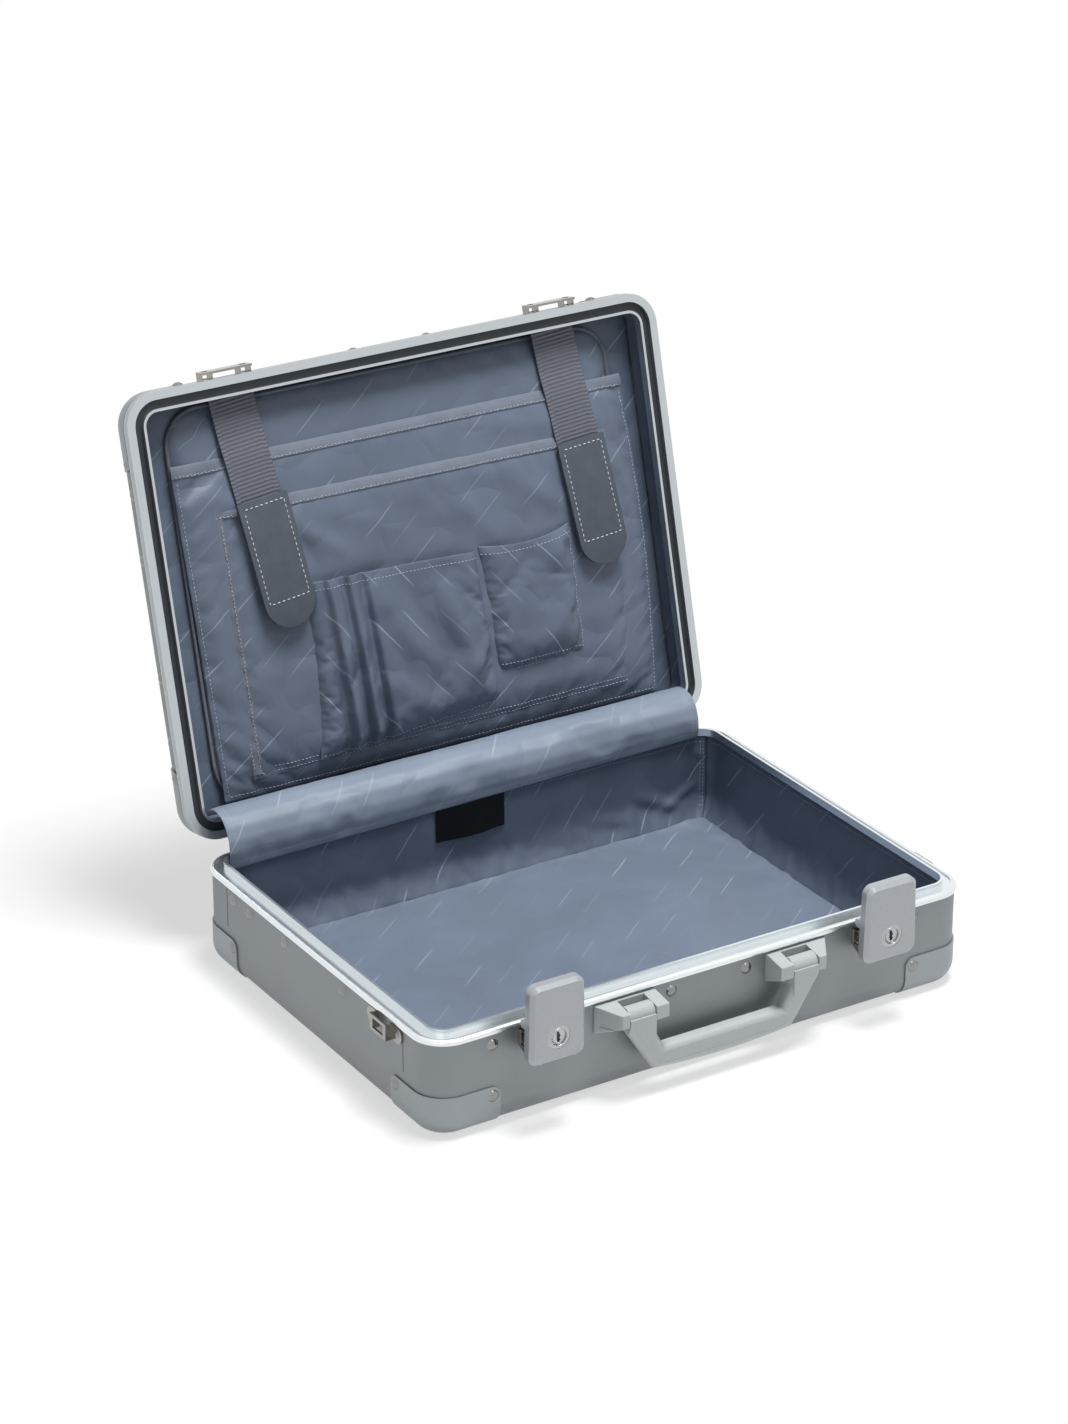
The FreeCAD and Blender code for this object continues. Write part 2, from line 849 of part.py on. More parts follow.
def latch_hook():
    """Return the draw hook that turns on the cover's upper pin."""
    hook = Vector(0, *front_place(hook_out, hook_high))
    barrel = cylinder(hook, X, hook_barrel_r, 2 * hook_half_w)
    top = mate_z + hook_top
    plate = box(-hook_half_w, hook_half_w, hook.y - hook_t / 2, hook.y + hook_t / 2, hook.z, top)
    lip = box(-hook_half_w, hook_half_w, hook.y - hook_t / 2, hook.y + hook_lip, top - hook_t, top)
    bore = cylinder(hook, X, hook_pin_r + run_gap, 2 * hook_half_w + overrun)
    return cut(fuse([barrel, plate, lip]), [bore])


def hook_spring():
    """Return the hook's torsion spring as one tube, with two straight ends."""
    hook = Vector(0, *front_place(hook_out, hook_high))
    start = -hook_half_w - end_gap - spring_wire
    steps = 4 * spring_turns

    def point(quarter):
        angle = math.pi / 2 * quarter
        return hook + Vector(start - spring_pitch * quarter / 4, spring_r * math.sin(angle),
                             spring_r * math.cos(angle))

    def slope(quarter):
        angle = math.pi / 2 * quarter
        turn = Vector(-spring_pitch / (2 * math.pi), spring_r * math.cos(angle),
                      -spring_r * math.sin(angle))
        return turn.normalize()

    tip = point(0) - slope(0) * spring_r
    edges = [Part.LineSegment(tip, point(0)).toShape()]
    for step in range(steps):
        edges += biarc(point(step), slope(step), point(step + 1), slope(step + 1))
    last = point(steps)
    edges.append(Part.LineSegment(last, last + slope(steps) * spring_r).toShape())
    path = Part.Wire(edges)
    section = Part.Wire(Part.makeCircle(spring_wire / 2, tip, slope(0)))
    shell = Part.BRepOffsetAPI.MakePipeShell(path)
    shell.add(section)
    shell.build()
    shell.makeSolid()
    print("least gap of the hook spring to itself", round(least_gap(path, spring_wire), 3), "mm")
    return shell.shape()


def least_gap(path, wire):
    """Return the least clear distance between a wound wire's stretches, measured on points."""
    points = path.discretize(Number=spring_samples)
    spacing = path.Length / (spring_samples - 1)
    apart = math.ceil(math.pi * spring_r / spacing)
    return min((points[j] - points[i]).Length for i in range(len(points))
               for j in range(i + apart, len(points))) - wire


def biarc(p0, t0, p1, t1):
    """Return two arcs that join two points with the given directions."""
    span = p1 - p0
    both = t0 + t1
    a = both.dot(both) - 4
    b = span.dot(both)
    c = span.dot(span)
    d = (b - math.sqrt(b * b - a * c)) / a
    q0 = p0 + t0 * d
    q1 = p1 - t1 * d
    joint = (q0 + q1) * 0.5
    return [tangent_arc(p0, t0, joint), tangent_arc(joint, (q1 - q0).normalize(), p1)]


def tangent_arc(start, direction, end):
    """Return the arc from start to end that leaves start along direction."""
    chord = end - start
    side = chord - direction * chord.dot(direction)
    length = chord.Length
    sine = side.Length / length
    radius = length / (2 * sine)
    middle_side = side.normalize()
    centre = start + middle_side * radius
    half = (start + end) * 0.5 - centre
    crest = centre + half.normalize() * radius
    return Part.Arc(start, crest, end).toShape()


def lock_cylinder():
    """Return the lock's cylinder with its dished face and key slot."""
    front = -wall_y - cover_out
    face = front + lock_face / 2
    length = cover_out - lock_back - lock_face / 2
    body = Part.makeCylinder(lock_r, length, Vector(0, face, mate_z + lock_low), Y)
    flange = Part.makeCylinder(lock_r + lock_rim - run_gap, lock_face / 2,
                               Vector(0, face, mate_z + lock_low), Y)
    centre = Vector(0, front, mate_z + lock_low)
    dish = Part.makeCylinder(lock_r - lock_rim, lock_dish, centre, Y)
    key = box(-key_w / 2, key_w / 2, front, front + key_depth,
              centre.z - key_h / 2, centre.z + key_h / 2)
    return cut(fuse([body, flange]), [dish, key])


def lock_cam():
    """Return the locking cam behind the cylinder, pointing to the side as unlocked."""
    y, z = front_place(lock_back, lock_low)
    hub = Part.makeCylinder(lock_r - lock_rim, cam_t, Vector(0, y, z), Y)
    arm = box(-cam_len, 0, y, y + cam_t, z - cam_w / 2, z + cam_w / 2)
    return fuse([hub, arm])


def lid_catch():
    """Return a lid catch: two riveted feet and the bar that the hook holds, closed."""
    half = catch_w / 2
    low = mate_z + lid_flange_h + end_gap
    high = mate_z + catch_high
    y = -wall_y
    bar = box(-half, half, y - catch_out, y - catch_out + catch_bar_t, mate_z + catch_low, high)
    parts = [bar]
    for side in (-1, 1):
        inner, outer = sorted((side * (half - catch_foot), side * half))
        parts.append(box(inner, outer, y - catch_wall, y, low, high))
        for edge in (inner, outer - catch_wall):
            parts.append(box(edge, edge + catch_wall, y - catch_out, y, low, high))
    holes = [rivet_hole(p - X * latch_x, -Y, small_shank_r)
             for p in catch_rivet_places() if p.x > 0]
    access = [cylinder(p - X * latch_x - Y * catch_out, Y, small_head_r + seat, 2 * catch_bar_t)
              for p in catch_rivet_places() if p.x > 0]
    return cut(fuse(parts), holes + access)


def at_latch(shape):
    """Return copies of a shape at the left and the right latch."""
    return [shape.translated(X * x) for x in latch_centres()]


# Handle

def handle_bracket(side):
    """Return one handle bracket: a straight inner cheek and an outer one that slants back."""
    inner, outer = bracket_in, bracket_in + bracket_w
    profile = front_points([(0, bracket_top), (bracket_out, bracket_front_top),
                            (bracket_out, bracket_front_low), (0, bracket_low)])
    block = prism(profile, X, inner, outer - inner).cut(beyond_cheek(0))
    edges = [e for e in block.Edges
             if e.BoundBox.YMax < -wall_y - seat or e.BoundBox.YLength > bracket_back_t]
    block = block.makeFillet(bracket_edge, edges)
    gap_in = arm_in - arm_side_gap
    gap_out = arm_in + arm_w + arm_side_gap
    back = -wall_y - bracket_back_t
    slot = box(gap_in, gap_out, back - 2 * bracket_out, back, mate_z + bracket_low - overrun,
               mate_z + bracket_top + overrun)
    pin = Vector(0, *front_place(swing_out, swing_low))
    bore = Part.makeCylinder(swing_r, gap_out - gap_in + 2 * cheek_hold(),
                             pin + X * (gap_in - cheek_hold()), X)
    frame = box(inner, outer, back - bracket_out + 2 * cheek_margin, back - cheek_margin / 2,
                mate_z + bracket_low + 2 * cheek_margin, mate_z + bracket_front_top - bracket_edge)
    recess = beyond_cheek(cheek_recess).common(frame)
    screws = []
    for x in screw_xs():
        if x > handle_x:
            centre = Vector(x - handle_x, -wall_y, mate_z + screw_low)
            screws.append(cylinder(centre, Y, screw_r, 2 * (screw_len - sheet_t)))
    bracket = cut(block, [slot, bore, recess] + screws)
    if side < 0:
        bracket = mirror(bracket)
    return bracket.translated(X * handle_x)


def beyond_cheek(depth):
    """Return the room outside a bracket's slanted outer side, moved into it by depth."""
    outer = bracket_in + bracket_w
    tip = arm_in + arm_w + arm_side_gap + cheek_tip
    slope = (outer - tip) / (bracket_out - cheek_foot)
    far = bracket_out + overrun
    points = [(outer + far, 0), (outer + far, far), (tip - slope * overrun, far),
              (outer, cheek_foot), (outer, 0)]
    wall = [Vector(x - depth, -wall_y - out, mate_z + bracket_low - overrun) for x, out in points]
    face = Part.Face(Part.makePolygon(wall + wall[:1]))
    return face.extrude(Z * (bracket_top - bracket_low + 2 * overrun))


def cheek_hold():
    """Return how deep the handle pin goes into each cheek."""
    return (arm_in - arm_side_gap - bracket_in) / 2


def handle_pins():
    """Return the two pins that the handle swings on."""
    pin = Vector(0, *front_place(swing_out, swing_low))
    length = arm_w + 2 * arm_side_gap + 2 * cheek_hold()
    middle = arm_in + arm_w / 2
    return group([cylinder(pin + X * (handle_x + side * middle), X, swing_r, length)
                  for side in (-1, 1)])


def handle_screws():
    """Return the screws that hold the brackets from inside the case."""
    screws = []
    for x in screw_xs():
        inside = Vector(x, -wall_y + sheet_t, mate_z + screw_low)
        shank = Part.makeCylinder(screw_r, screw_len, inside, -Y)
        head = Part.makeCylinder(screw_head_r, screw_head_h, inside, Y)
        screws.append(fuse([shank, head]))
    return group(screws)


def handle_outline():
    """Return the front outline of the handle as a closed wire in X and Z."""
    def at(x, z):
        return Vector(x, 0, mate_z + z)

    outer = arm_in + arm_w
    right = [(outer, swing_low), (outer, arm_straight), (grip_corner, grip_low)]
    inner = [(-grip_in, grip_top), (-arm_in, arm_straight), (-arm_in, swing_low)]
    edges = [Part.makePolygon([at(x, z) for x, z in right])]
    edges.append(Part.Arc(at(grip_corner, grip_low), at(0, grip_low - grip_bow),
                          at(-grip_corner, grip_low)).toShape())
    left = [(-x, z) for x, z in reversed(right)]
    edges.append(Part.makePolygon([at(x, z) for x, z in left + inner[::-1] + [
        (-x, z) for x, z in inner] + right[:1]]))
    return Part.Wire([e for w in edges for e in w.Edges])


def handle_body():
    """Return the handle: two arms with barrels, and the grip between them."""
    pin = Vector(0, *front_place(swing_out, swing_low))
    face = Part.Face(handle_outline())
    face.translate(Vector(0, -wall_y - arm_front, 0))
    bar = face.extrude(Y * (arm_front - arm_back))
    bar = bar.makeFillet(grip_round, [e for e in bar.Edges if is_grip_edge(e)])
    trims = []
    barrels = []
    for side in (-1, 1):
        start = min(side * arm_in, side * (arm_in + arm_w))
        barrels.append(Part.makeCylinder(barrel_r, arm_w, pin + X * start, X))
        trims.append(box(start - overrun / 2, start + arm_w + overrun / 2,
                         -wall_y - arm_front - overrun, -wall_y,
                         pin.z, pin.z + 2 * barrel_r))
    whole = fuse([bar.cut(trims)] + barrels)
    bore = cylinder(pin, X, swing_r + run_gap, 2 * (arm_in + arm_w) + overrun)
    return cut(whole, [bore, insert_pocket(0)]).translated(X * handle_x)


def is_grip_edge(edge):
    """Tell whether an edge of the handle bar runs round the front or back of the grip."""
    bounds = edge.BoundBox
    flat = bounds.YLength < tiny
    sloped = bounds.ZLength > tiny and bounds.ZMax < mate_z + arm_straight + tiny
    return flat and (sloped or bounds.XLength > grip_in)


def insert_pocket(shrink):
    """Return the block of the grip's front insert, drawn in by shrink."""
    front = -wall_y - arm_front
    middle = mate_z + (grip_top + grip_low) / 2
    half = grip_in - shrink
    high = insert_h / 2 - shrink
    start = front if shrink else front - overrun
    return box(-half, half, start, front + insert_t, middle - high, middle + high)


def handle_insert():
    """Return the smooth insert in the grip's front."""
    return insert_pocket(seat).translated(X * handle_x)


# Strap loops

def strap_loop(side):
    """Return a strap loop: two riveted feet and a raised bridge with a window."""
    z = mate_z + loop_low
    middle = -wall_y + loop_y
    half = loop_len / 2
    span = loop_span / 2
    feet = []
    for end in (-1, 1):
        near, far = sorted((middle + end * span, middle + end * half))
        foot = box(0, loop_t, near, far, z, z + loop_h)
        tips = [e for e in along(foot, X) if abs(abs(e.CenterOfMass.y - middle) - half) < tiny]
        feet.append(foot.makeFillet(loop_h / 2 - seat, tips))
        post_near, post_far = sorted((middle + end * span, middle + end * (span + loop_t)))
        feet.append(box(0, loop_gap + loop_t, post_near, post_far, z, z + loop_h))
    reach = span + loop_t
    bridge = box(loop_gap, loop_gap + loop_t, middle - reach, middle + reach, z, z + loop_h)
    window = box(loop_gap - overrun, loop_gap + overrun, middle - span + window_frame,
                 middle + span - window_frame, z + window_frame, z + loop_h - window_frame)
    bridge = bridge.cut(window)
    loop = fuse(feet + [bridge]).translated(X * wall_x)
    holes = [rivet_hole(p, X, small_shank_r) for p, s in loop_rivet_places() if s > 0]
    loop = cut(loop, holes)
    return loop if side > 0 else mirror(loop)


# Hinges

def leaf(rise, ends, centre_x):
    """Return a hinge leaf below (-1) or above (1) the mating plane.

    ends tells which stretches of the pin it holds, as pairs of X from its middle.
    """
    far = lid_leaf_high if rise > 0 else -leaf_low
    plate = [(wall_y, far), (wall_y + leaf_t, far),
             (wall_y + leaf_t, rise * leaf_top), (wall_y, rise * leaf_top)]
    clear = rim_out - wall_out + end_gap
    across = knuckle_r / 2
    up = math.sqrt(knuckle_r ** 2 - across ** 2)
    web = [(wall_y + clear, rise * leaf_top), (wall_y + leaf_t, rise * (leaf_top + leaf_t)),
           (hinge_y + across, rise * up), (hinge_y - across, rise * up),
           (wall_y + clear, rise * (leaf_top - leaf_t / 2))]
    parts = [prism([(y, mate_z + z) for y, z in plate], X, -leaf_w / 2, leaf_w)]
    for start, end in ends:
        parts.append(prism([(y, mate_z + z) for y, z in web], X, start, end - start))
        parts.append(Part.makeCylinder(knuckle_r, end - start, hinge_point + X * start, X))
    bore = cylinder(hinge_point, X, pin_r + run_gap, leaf_w + overrun)
    body = cut(fuse(parts), [bore]).translated(X * centre_x)
    holes = [rivet_hole(p, Y, small_shank_r) for p in leaf_rivet_places(rise)]
    return cut(body, holes)


def outer_ends():
    """Return the pin stretches that the base leaf holds."""
    half = leaf_w / 2
    return [(-half, -half + leaf_end), (half - leaf_end, half)]


def middle_end():
    """Return the pin stretch that the lid leaf holds."""
    reach = leaf_w / 2 - leaf_end - end_gap
    return [(-reach, reach)]


def hinge_pins():
    """Return the two hinge pins."""
    return group([cylinder(hinge_point + X * side * hinge_x, X, pin_r, leaf_w)
                  for side in (-1, 1)])


# Lid lining and organiser, made closed in X, distance from the hinge line and depth

def lid_slab(x0, x1, s0, s1, d0, d1):
    """Return a block of the lid's inside."""
    return box(x0, x1, hinge_y - s1, hinge_y - s0, mate_z + d0, mate_z + d1)


def lid_pad():
    """Return the padded board in the lid's face."""
    high = mate_z + lid_pad_d
    pad = footprint(lid_wall_in - soft_gap, high - lid_pad_t, high)
    bevel = lid_pad_t - soft_gap
    return pad.makeChamfer(bevel, at_height(pad, high))


def lid_walls():
    """Return the four padded walls of the lid, parted at the corners."""
    low = mate_z + lid_channel_floor + lid_floor_t + soft_gap
    high = mate_z + lid_pad_d - lid_pad_t - soft_gap
    band = ring(lid_wall_in, lid_wall_in + lid_wall_t, low, high)
    walls = []
    for axis in (X, Y):
        for side in (-1, 1):
            wedge = lining_quarter(axis, side).translated(Z * lid_h)
            walls.append(band.common(wedge).Solids[0])
    return group(walls)


def pocket(x0, x1, s0, s1, depth, thick, radius):
    """Return a soft pocket: a slab whose front is crowned across and rounded at its corners."""
    d0 = depth - thick
    middle = (x0 + x1) / 2
    y0 = hinge_y - s1

    def at(x, d):
        return Vector(x, y0, mate_z + d)

    crown = Part.Arc(at(x0, d0 + pocket_crown), at(middle, d0), at(x1, d0 + pocket_crown))
    sides = Part.makePolygon([at(x1, d0 + pocket_crown), at(x1, depth), at(x0, depth),
                              at(x0, d0 + pocket_crown)])
    face = Part.Face(Part.Wire([crown.toShape()] + sides.Edges))
    body = face.extrude(Y * (s1 - s0))
    return body.makeFillet(radius, along(body, Z))


def organiser_panel():
    """Return the padded back panel of the organiser."""
    return pocket(-panel_half_w, panel_half_w, panel_low, panel_high, panel_d, panel_t, panel_r)


def pleated_pocket():
    """Return the pocket with upright folds at its left."""
    y0 = hinge_y - pleat_high
    back = mate_z + front_d
    front = back - pleat_t
    width = pleat_fold_w / pleat_folds

    def at(x, z):
        return Vector(x, y0, z)

    last = at(pleat_left, front + pleat_folds * pleat_fold_step)
    edges = [Part.LineSegment(at(pleat_left, back), last)]
    for fold in range(pleat_folds):
        x = pleat_left + (fold + 1) * width
        high = front + (pleat_folds - fold) * pleat_fold_step
        low = high - pleat_fold_step
        edges.append(Part.Arc(last, at(x - width / 2, low), at(x, high)))
        edges.append(Part.LineSegment(at(x, high), at(x, low)))
        last = at(x, low)
    middle = at((last.x + pleat_right) / 2, front - pleat_fold_step / 2)
    end = at(pleat_right, front + pleat_fold_step)
    edges.append(Part.Arc(last, middle, end))
    edges.append(Part.LineSegment(end, at(pleat_right, back)))
    edges.append(Part.LineSegment(at(pleat_right, back), at(pleat_left, back)))
    face = Part.Face(Part.Wire([e.toShape() for e in edges]))
    return face.extrude(Y * (pleat_high - pleat_low))


def lean(shape, x):
    """Lean a hanging strap about its top."""
    return shape.rotated(Vector(x, hinge_y - strap_top, 0), Z, strap_lean)


def ribbon(x, width, places, thick):
    """Return a band that follows places given as distance from the hinge line and depth."""
    front = [(hinge_y - s, mate_z + d - thick) for s, d in places]
    back = [(hinge_y - s, mate_z + d) for s, d in reversed(places)]
    return prism(front + back, X, x - width / 2, width)


def strap_places():
    """Return the strap's route down over the pockets, at its back face."""
    over_rear = rear_d - rear_t - soft_gap
    over_middle = middle_d - middle_t - soft_gap
    return [(strap_top, over_rear), (rear_high, over_rear),
            (strap_end, over_middle), (strap_end - strap_t, over_middle)]


def straps():
    """Return the two webbing straps that hang from the lid's front wall."""
    return group([lean(ribbon(x, strap_w, strap_places(), strap_t), x) for x in strap_x])


def strap_tabs():
    """Return the leather tabs at the straps' ends."""
    top = strap_end - strap_t - soft_gap
    low = top - tab_len
    over = middle_d - middle_t - soft_gap
    tabs = []
    for x in strap_x:
        tab = ribbon(x, tab_w, [(top, over), (low, over - tab_rise)], tab_t)
        ends = [e for e in tab.Edges if abs(e.CenterOfMass.y - (hinge_y - low)) < tiny
                and e.BoundBox.XLength < tiny]
        tabs.append(lean(tab.makeFillet(tab_w / 2 - seat, ends), x))
    return group(tabs)


def flap():
    """Return the part of the hinge flap that the lid carries, rounded in front."""
    slab = lid_slab(-flap_w / 2, flap_w / 2, flap_start, flap_start + flap_len, -flap_t, 0)
    front = [e for e in along(slab, X) if abs(e.CenterOfMass.z - mate_z + flap_t) < tiny]
    return slab.makeFillet(flap_t / 2, front)


# The whole case

def lid_pieces():
    """Return the lid's pieces by name, closed."""
    catches = at_latch(lid_catch())
    return {
        "lid_shell": lid_shell(),
        "lid_rim_frame": lid_frame(),
        "lid_gasket": lid_gasket(),
        "lid_corner_caps": lid_caps(),
        "lid_rivets": lid_rivets(),
        "lid_small_rivets": lid_small_rivets(),
        "lid_catch_left": catches[0],
        "lid_catch_right": catches[1],
        "lid_hinge_leaf_left": leaf(1, middle_end(), -hinge_x),
        "lid_hinge_leaf_right": leaf(1, middle_end(), hinge_x),
        "lid_lining_panel": lid_pad(),
        "lid_lining_walls": lid_walls(),
        "organiser_panel": organiser_panel(),
        "rear_pocket": pocket(rear_left, rear_right, rear_low, rear_high, rear_d, rear_t, rear_r),
        "middle_pocket": pocket(middle_left, middle_right, middle_low, middle_high, middle_d,
                                middle_t, middle_r),
        "pleated_pocket": pleated_pocket(),
        "flat_pocket": pocket(flat_left, flat_right, flat_low, flat_high, front_d, flat_t, flat_r),
        "lid_straps": straps(),
        "strap_tabs": strap_tabs(),
        "hinge_flap": flap(),
    }


def base_pieces():
    """Return the base's pieces by name."""
    housings = at_latch(latch_housing())
    return {
        "base_shell": base_shell(),
        "base_rim_frame": base_frame(),
        "base_corner_caps": base_caps(),
        "base_rivets": base_rivets(),
        "base_small_rivets": base_small_rivets(),
        "base_floor_pad": floor_pad(),
        "base_lining_front": base_lining(Y, -1),
        "base_lining_back": base_lining(Y, 1),
        "base_lining_left": base_lining(X, -1),
        "base_lining_right": base_lining(X, 1),
        "lining_label": lining_label(),
        "hinge_flap_hem": flap_hem(),
        "latch_housing_left": housings[0],
        "latch_housing_right": housings[1],
        "latch_pivot_pins": group(at_latch(turn_pin())),
        "handle_bracket_left": handle_bracket(-1),
        "handle_bracket_right": handle_bracket(1),
        "handle_pins": handle_pins(),
        "handle_screws": handle_screws(),
        "strap_loop_left": strap_loop(-1),
        "strap_loop_right": strap_loop(1),
        "base_hinge_leaf_left": leaf(-1, outer_ends(), -hinge_x),
        "base_hinge_leaf_right": leaf(-1, outer_ends(), hinge_x),
        "hinge_pins": hinge_pins(),
    }


def moving_pieces():
    """Return the pieces of the latches, the locks and the handle by name."""
    pieces = {"handle_body": handle_body(), "handle_grip_insert": handle_insert()}
    makers = {"latch_cover": latch_cover, "hook_pin": hook_pin, "hook_spring": hook_spring,
              "latch_hook": latch_hook, "lock_cylinder": lock_cylinder, "lock_cam": lock_cam}
    for name, maker in makers.items():
        left, right = at_latch(maker())
        pieces[name + "_left"] = left
        pieces[name + "_right"] = right
    return pieces


def frame_shift():
    """Return the move along Y that centres the open case's box on the origin."""
    turn = math.radians(open_deg)
    reach = hinge_off + 2 * wall_y - edge_r
    depth = lid_h - edge_r
    back = hinge_y - reach * math.cos(turn) + depth * math.sin(turn) + edge_r + cap_t
    front = -wall_y - cover_out
    return Vector(0, -(front + back) / 2, 0)


def joint_points(shift):
    """Return the points that the joints turn about, moved by shift."""
    points = {
        "hinge": Vector(0, hinge_y, mate_z),
        "handle": Vector(handle_x, *front_place(swing_out, swing_low)),
        "latch": Vector(latch_x, *front_place(turn_out, turn_low)),
        "hook": Vector(latch_x, *front_place(hook_out, hook_high)),
        "lock": Vector(latch_x, *front_place(cover_out, lock_low)),
    }
    return {name: point + shift for name, point in points.items()}


def build():
    """Make every piece, open the lid, shift the case and write the files."""
    shift = frame_shift()
    pieces = base_pieces()
    pieces.update(moving_pieces())
    for name, shape in lid_pieces().items():
        pieces[name] = shape.rotated(hinge_point, X, -open_deg)
    for name, shape in pieces.items():
        pieces[name] = shape.translated(shift)
        if not pieces[name].isValid():
            print("not valid", name)
        pieces[name].exportStep("parts/" + name + ".step")
    print(len(pieces), "nodes", Part.Compound(list(pieces.values())).BoundBox)
    for name, point in joint_points(shift).items():
        print(name, [round(v, 3) for v in point])


build()
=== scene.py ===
"""Looks of the laptop hard case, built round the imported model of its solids.

The metal and plastic pieces keep their solids and get their finishes here. The
fabric inside the case, the straps and the stitching are modelled here, in the
places of the soft solids that they stand for. All lengths are in metres.
"""

import json
import logging
import math
from dataclasses import dataclass
from enum import Enum
from typing import Callable, Sequence

import bpy
import numpy as np
from mathutils import Matrix, Vector, noise


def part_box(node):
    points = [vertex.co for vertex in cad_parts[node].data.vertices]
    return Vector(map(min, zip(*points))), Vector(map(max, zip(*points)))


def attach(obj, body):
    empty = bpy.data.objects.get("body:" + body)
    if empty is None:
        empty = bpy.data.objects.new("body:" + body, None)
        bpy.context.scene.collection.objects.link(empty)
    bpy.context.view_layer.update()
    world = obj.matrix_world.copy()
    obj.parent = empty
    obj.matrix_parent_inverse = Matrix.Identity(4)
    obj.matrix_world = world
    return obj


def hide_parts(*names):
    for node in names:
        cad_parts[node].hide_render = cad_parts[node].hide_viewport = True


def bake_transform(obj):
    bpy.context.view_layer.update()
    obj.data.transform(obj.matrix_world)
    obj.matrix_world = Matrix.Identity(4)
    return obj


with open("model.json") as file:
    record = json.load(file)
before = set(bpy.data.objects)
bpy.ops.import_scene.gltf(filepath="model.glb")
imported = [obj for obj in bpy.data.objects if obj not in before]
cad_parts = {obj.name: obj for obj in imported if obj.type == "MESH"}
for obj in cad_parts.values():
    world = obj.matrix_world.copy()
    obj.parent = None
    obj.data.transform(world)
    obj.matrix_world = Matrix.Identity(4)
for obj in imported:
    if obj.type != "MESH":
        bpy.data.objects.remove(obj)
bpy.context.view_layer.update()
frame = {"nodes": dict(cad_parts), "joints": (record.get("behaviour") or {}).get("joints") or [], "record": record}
log = logging.getLogger("case")

Pair = tuple[float, float]
Trio = tuple[float, float, float]
Array = np.ndarray
Piece = bpy.types.Object
Socket = bpy.types.NodeSocket
Finishes = dict[str, bpy.types.Material]
WHITE = (1, 1, 1, 1)


# Finishes


class Nodes:
    """Short calls for building a node tree."""

    def __init__(self, tree: bpy.types.NodeTree) -> None:
        """Keep the tree."""
        self.tree = tree

    def add(self, kind: str, inputs: dict | None = None, **settings: object) -> bpy.types.Node:
        """Add a node.

        Args:
            kind: The node's type name without its ShaderNode start.
            inputs: Numbers, colours or other nodes' outputs, by the input's name or place.
            settings: Properties of the node by name.

        Returns:
            The new node.
        """
        node = self.tree.nodes.new("ShaderNode" + kind)
        for key, value in settings.items():
            setattr(node, key, value)
        for key, value in (inputs or {}).items():
            self.feed(node.inputs[key], value)
        return node

    def feed(self, target: Socket, value: object) -> None:
        """Give an input a number or colour, or join it to another node's output."""
        if isinstance(value, Socket):
            self.tree.links.new(value, target)
        else:
            target.default_value = value

    def math(self, operation: str, *values: object) -> Socket:
        """Return the output of a math node fed with sockets or numbers."""
        return self.add("Math", dict(enumerate(values)), operation=operation).outputs[0]

    def place(self) -> Socket:
        """Return the object's own coordinates."""
        return self.add("TexCoord").outputs["Object"]

    def seen(self) -> Socket:
        """Return 1 for rays from the camera and for those off shiny or through clear pieces."""
        path = self.add("LightPath").outputs
        total = path["Is Camera Ray"]
        for name in ("Is Glossy Ray", "Is Transmission Ray"):
            total = self.math("MAXIMUM", total, path[name])
        return total


class Surface(Nodes):
    """The node tree of one material, with its surface shader."""

    def __init__(self, name: str) -> None:
        """Start a material with an empty surface shader."""
        self.material = bpy.data.materials.new(name)
        self.material.use_nodes = True
        super().__init__(self.material.node_tree)
        self.shader = self.tree.nodes["Principled BSDF"]

    def set(self, **values: object) -> None:
        """Feed the shader's inputs, named with _ for each space."""
        for key, value in values.items():
            self.feed(self.shader.inputs[key.replace("_", " ")], value)

    def speckle(self, scale: float, detail: float = 2.0) -> Socket:
        """Return noise over the object's own coordinates."""
        return self.add("TexNoise", {"Vector": self.place(), "Scale": scale,
                                     "Detail": detail}).outputs["Fac"]

    def tint(self, code: str, source: Socket, low: float, high: float,
             start: float = 0.3, end: float = 0.7) -> Socket:
        """Return a colour between two shares of itself.

        Args:
            code: Hex digits of its red, green and blue.
            source: The value that it follows.
            low: The share of the colour where source is at start or less.
            high: The share where source is at end or more.
            start: The lower value.
            end: The upper value.

        Returns:
            The ramp's colour.
        """
        node = self.add("ValToRGB", {0: source})
        for stop, place, share in zip(node.color_ramp.elements, (start, end), (low, high)):
            stop.position = place
            stop.color = (*(share * value for value in linear(code)), 1)
        return node.outputs[0]

    def spread(self, scale: float, low: float, high: float) -> Socket:
        """Return a value that noise of a scale spreads from low to high."""
        return self.add("MapRange", {"Value": self.speckle(scale, 3.0), "To Min": low,
                                     "To Max": high}).outputs[0]

    def bump(self, height: Socket, distance: float, strength: float = 1.0) -> None:
        """Raise the surface by height times distance, on top of what is raised already."""
        normal = self.shader.inputs["Normal"]
        before = {"Normal": normal.links[0].from_socket} if normal.links else {}
        node = self.add("Bump", {"Height": height, "Distance": distance,
                                 "Strength": strength, **before})
        self.feed(normal, node.outputs[0])


def linear(code: str) -> list[float]:
    """Return the linear red, green and blue of a six-figure hex code."""
    parts = [int(code[i:i + 2], 16) / 255 for i in (0, 2, 4)]
    return [v / 12.92 if v <= 0.04045 else ((v + 0.055) / 1.055) ** 2.4 for v in parts]


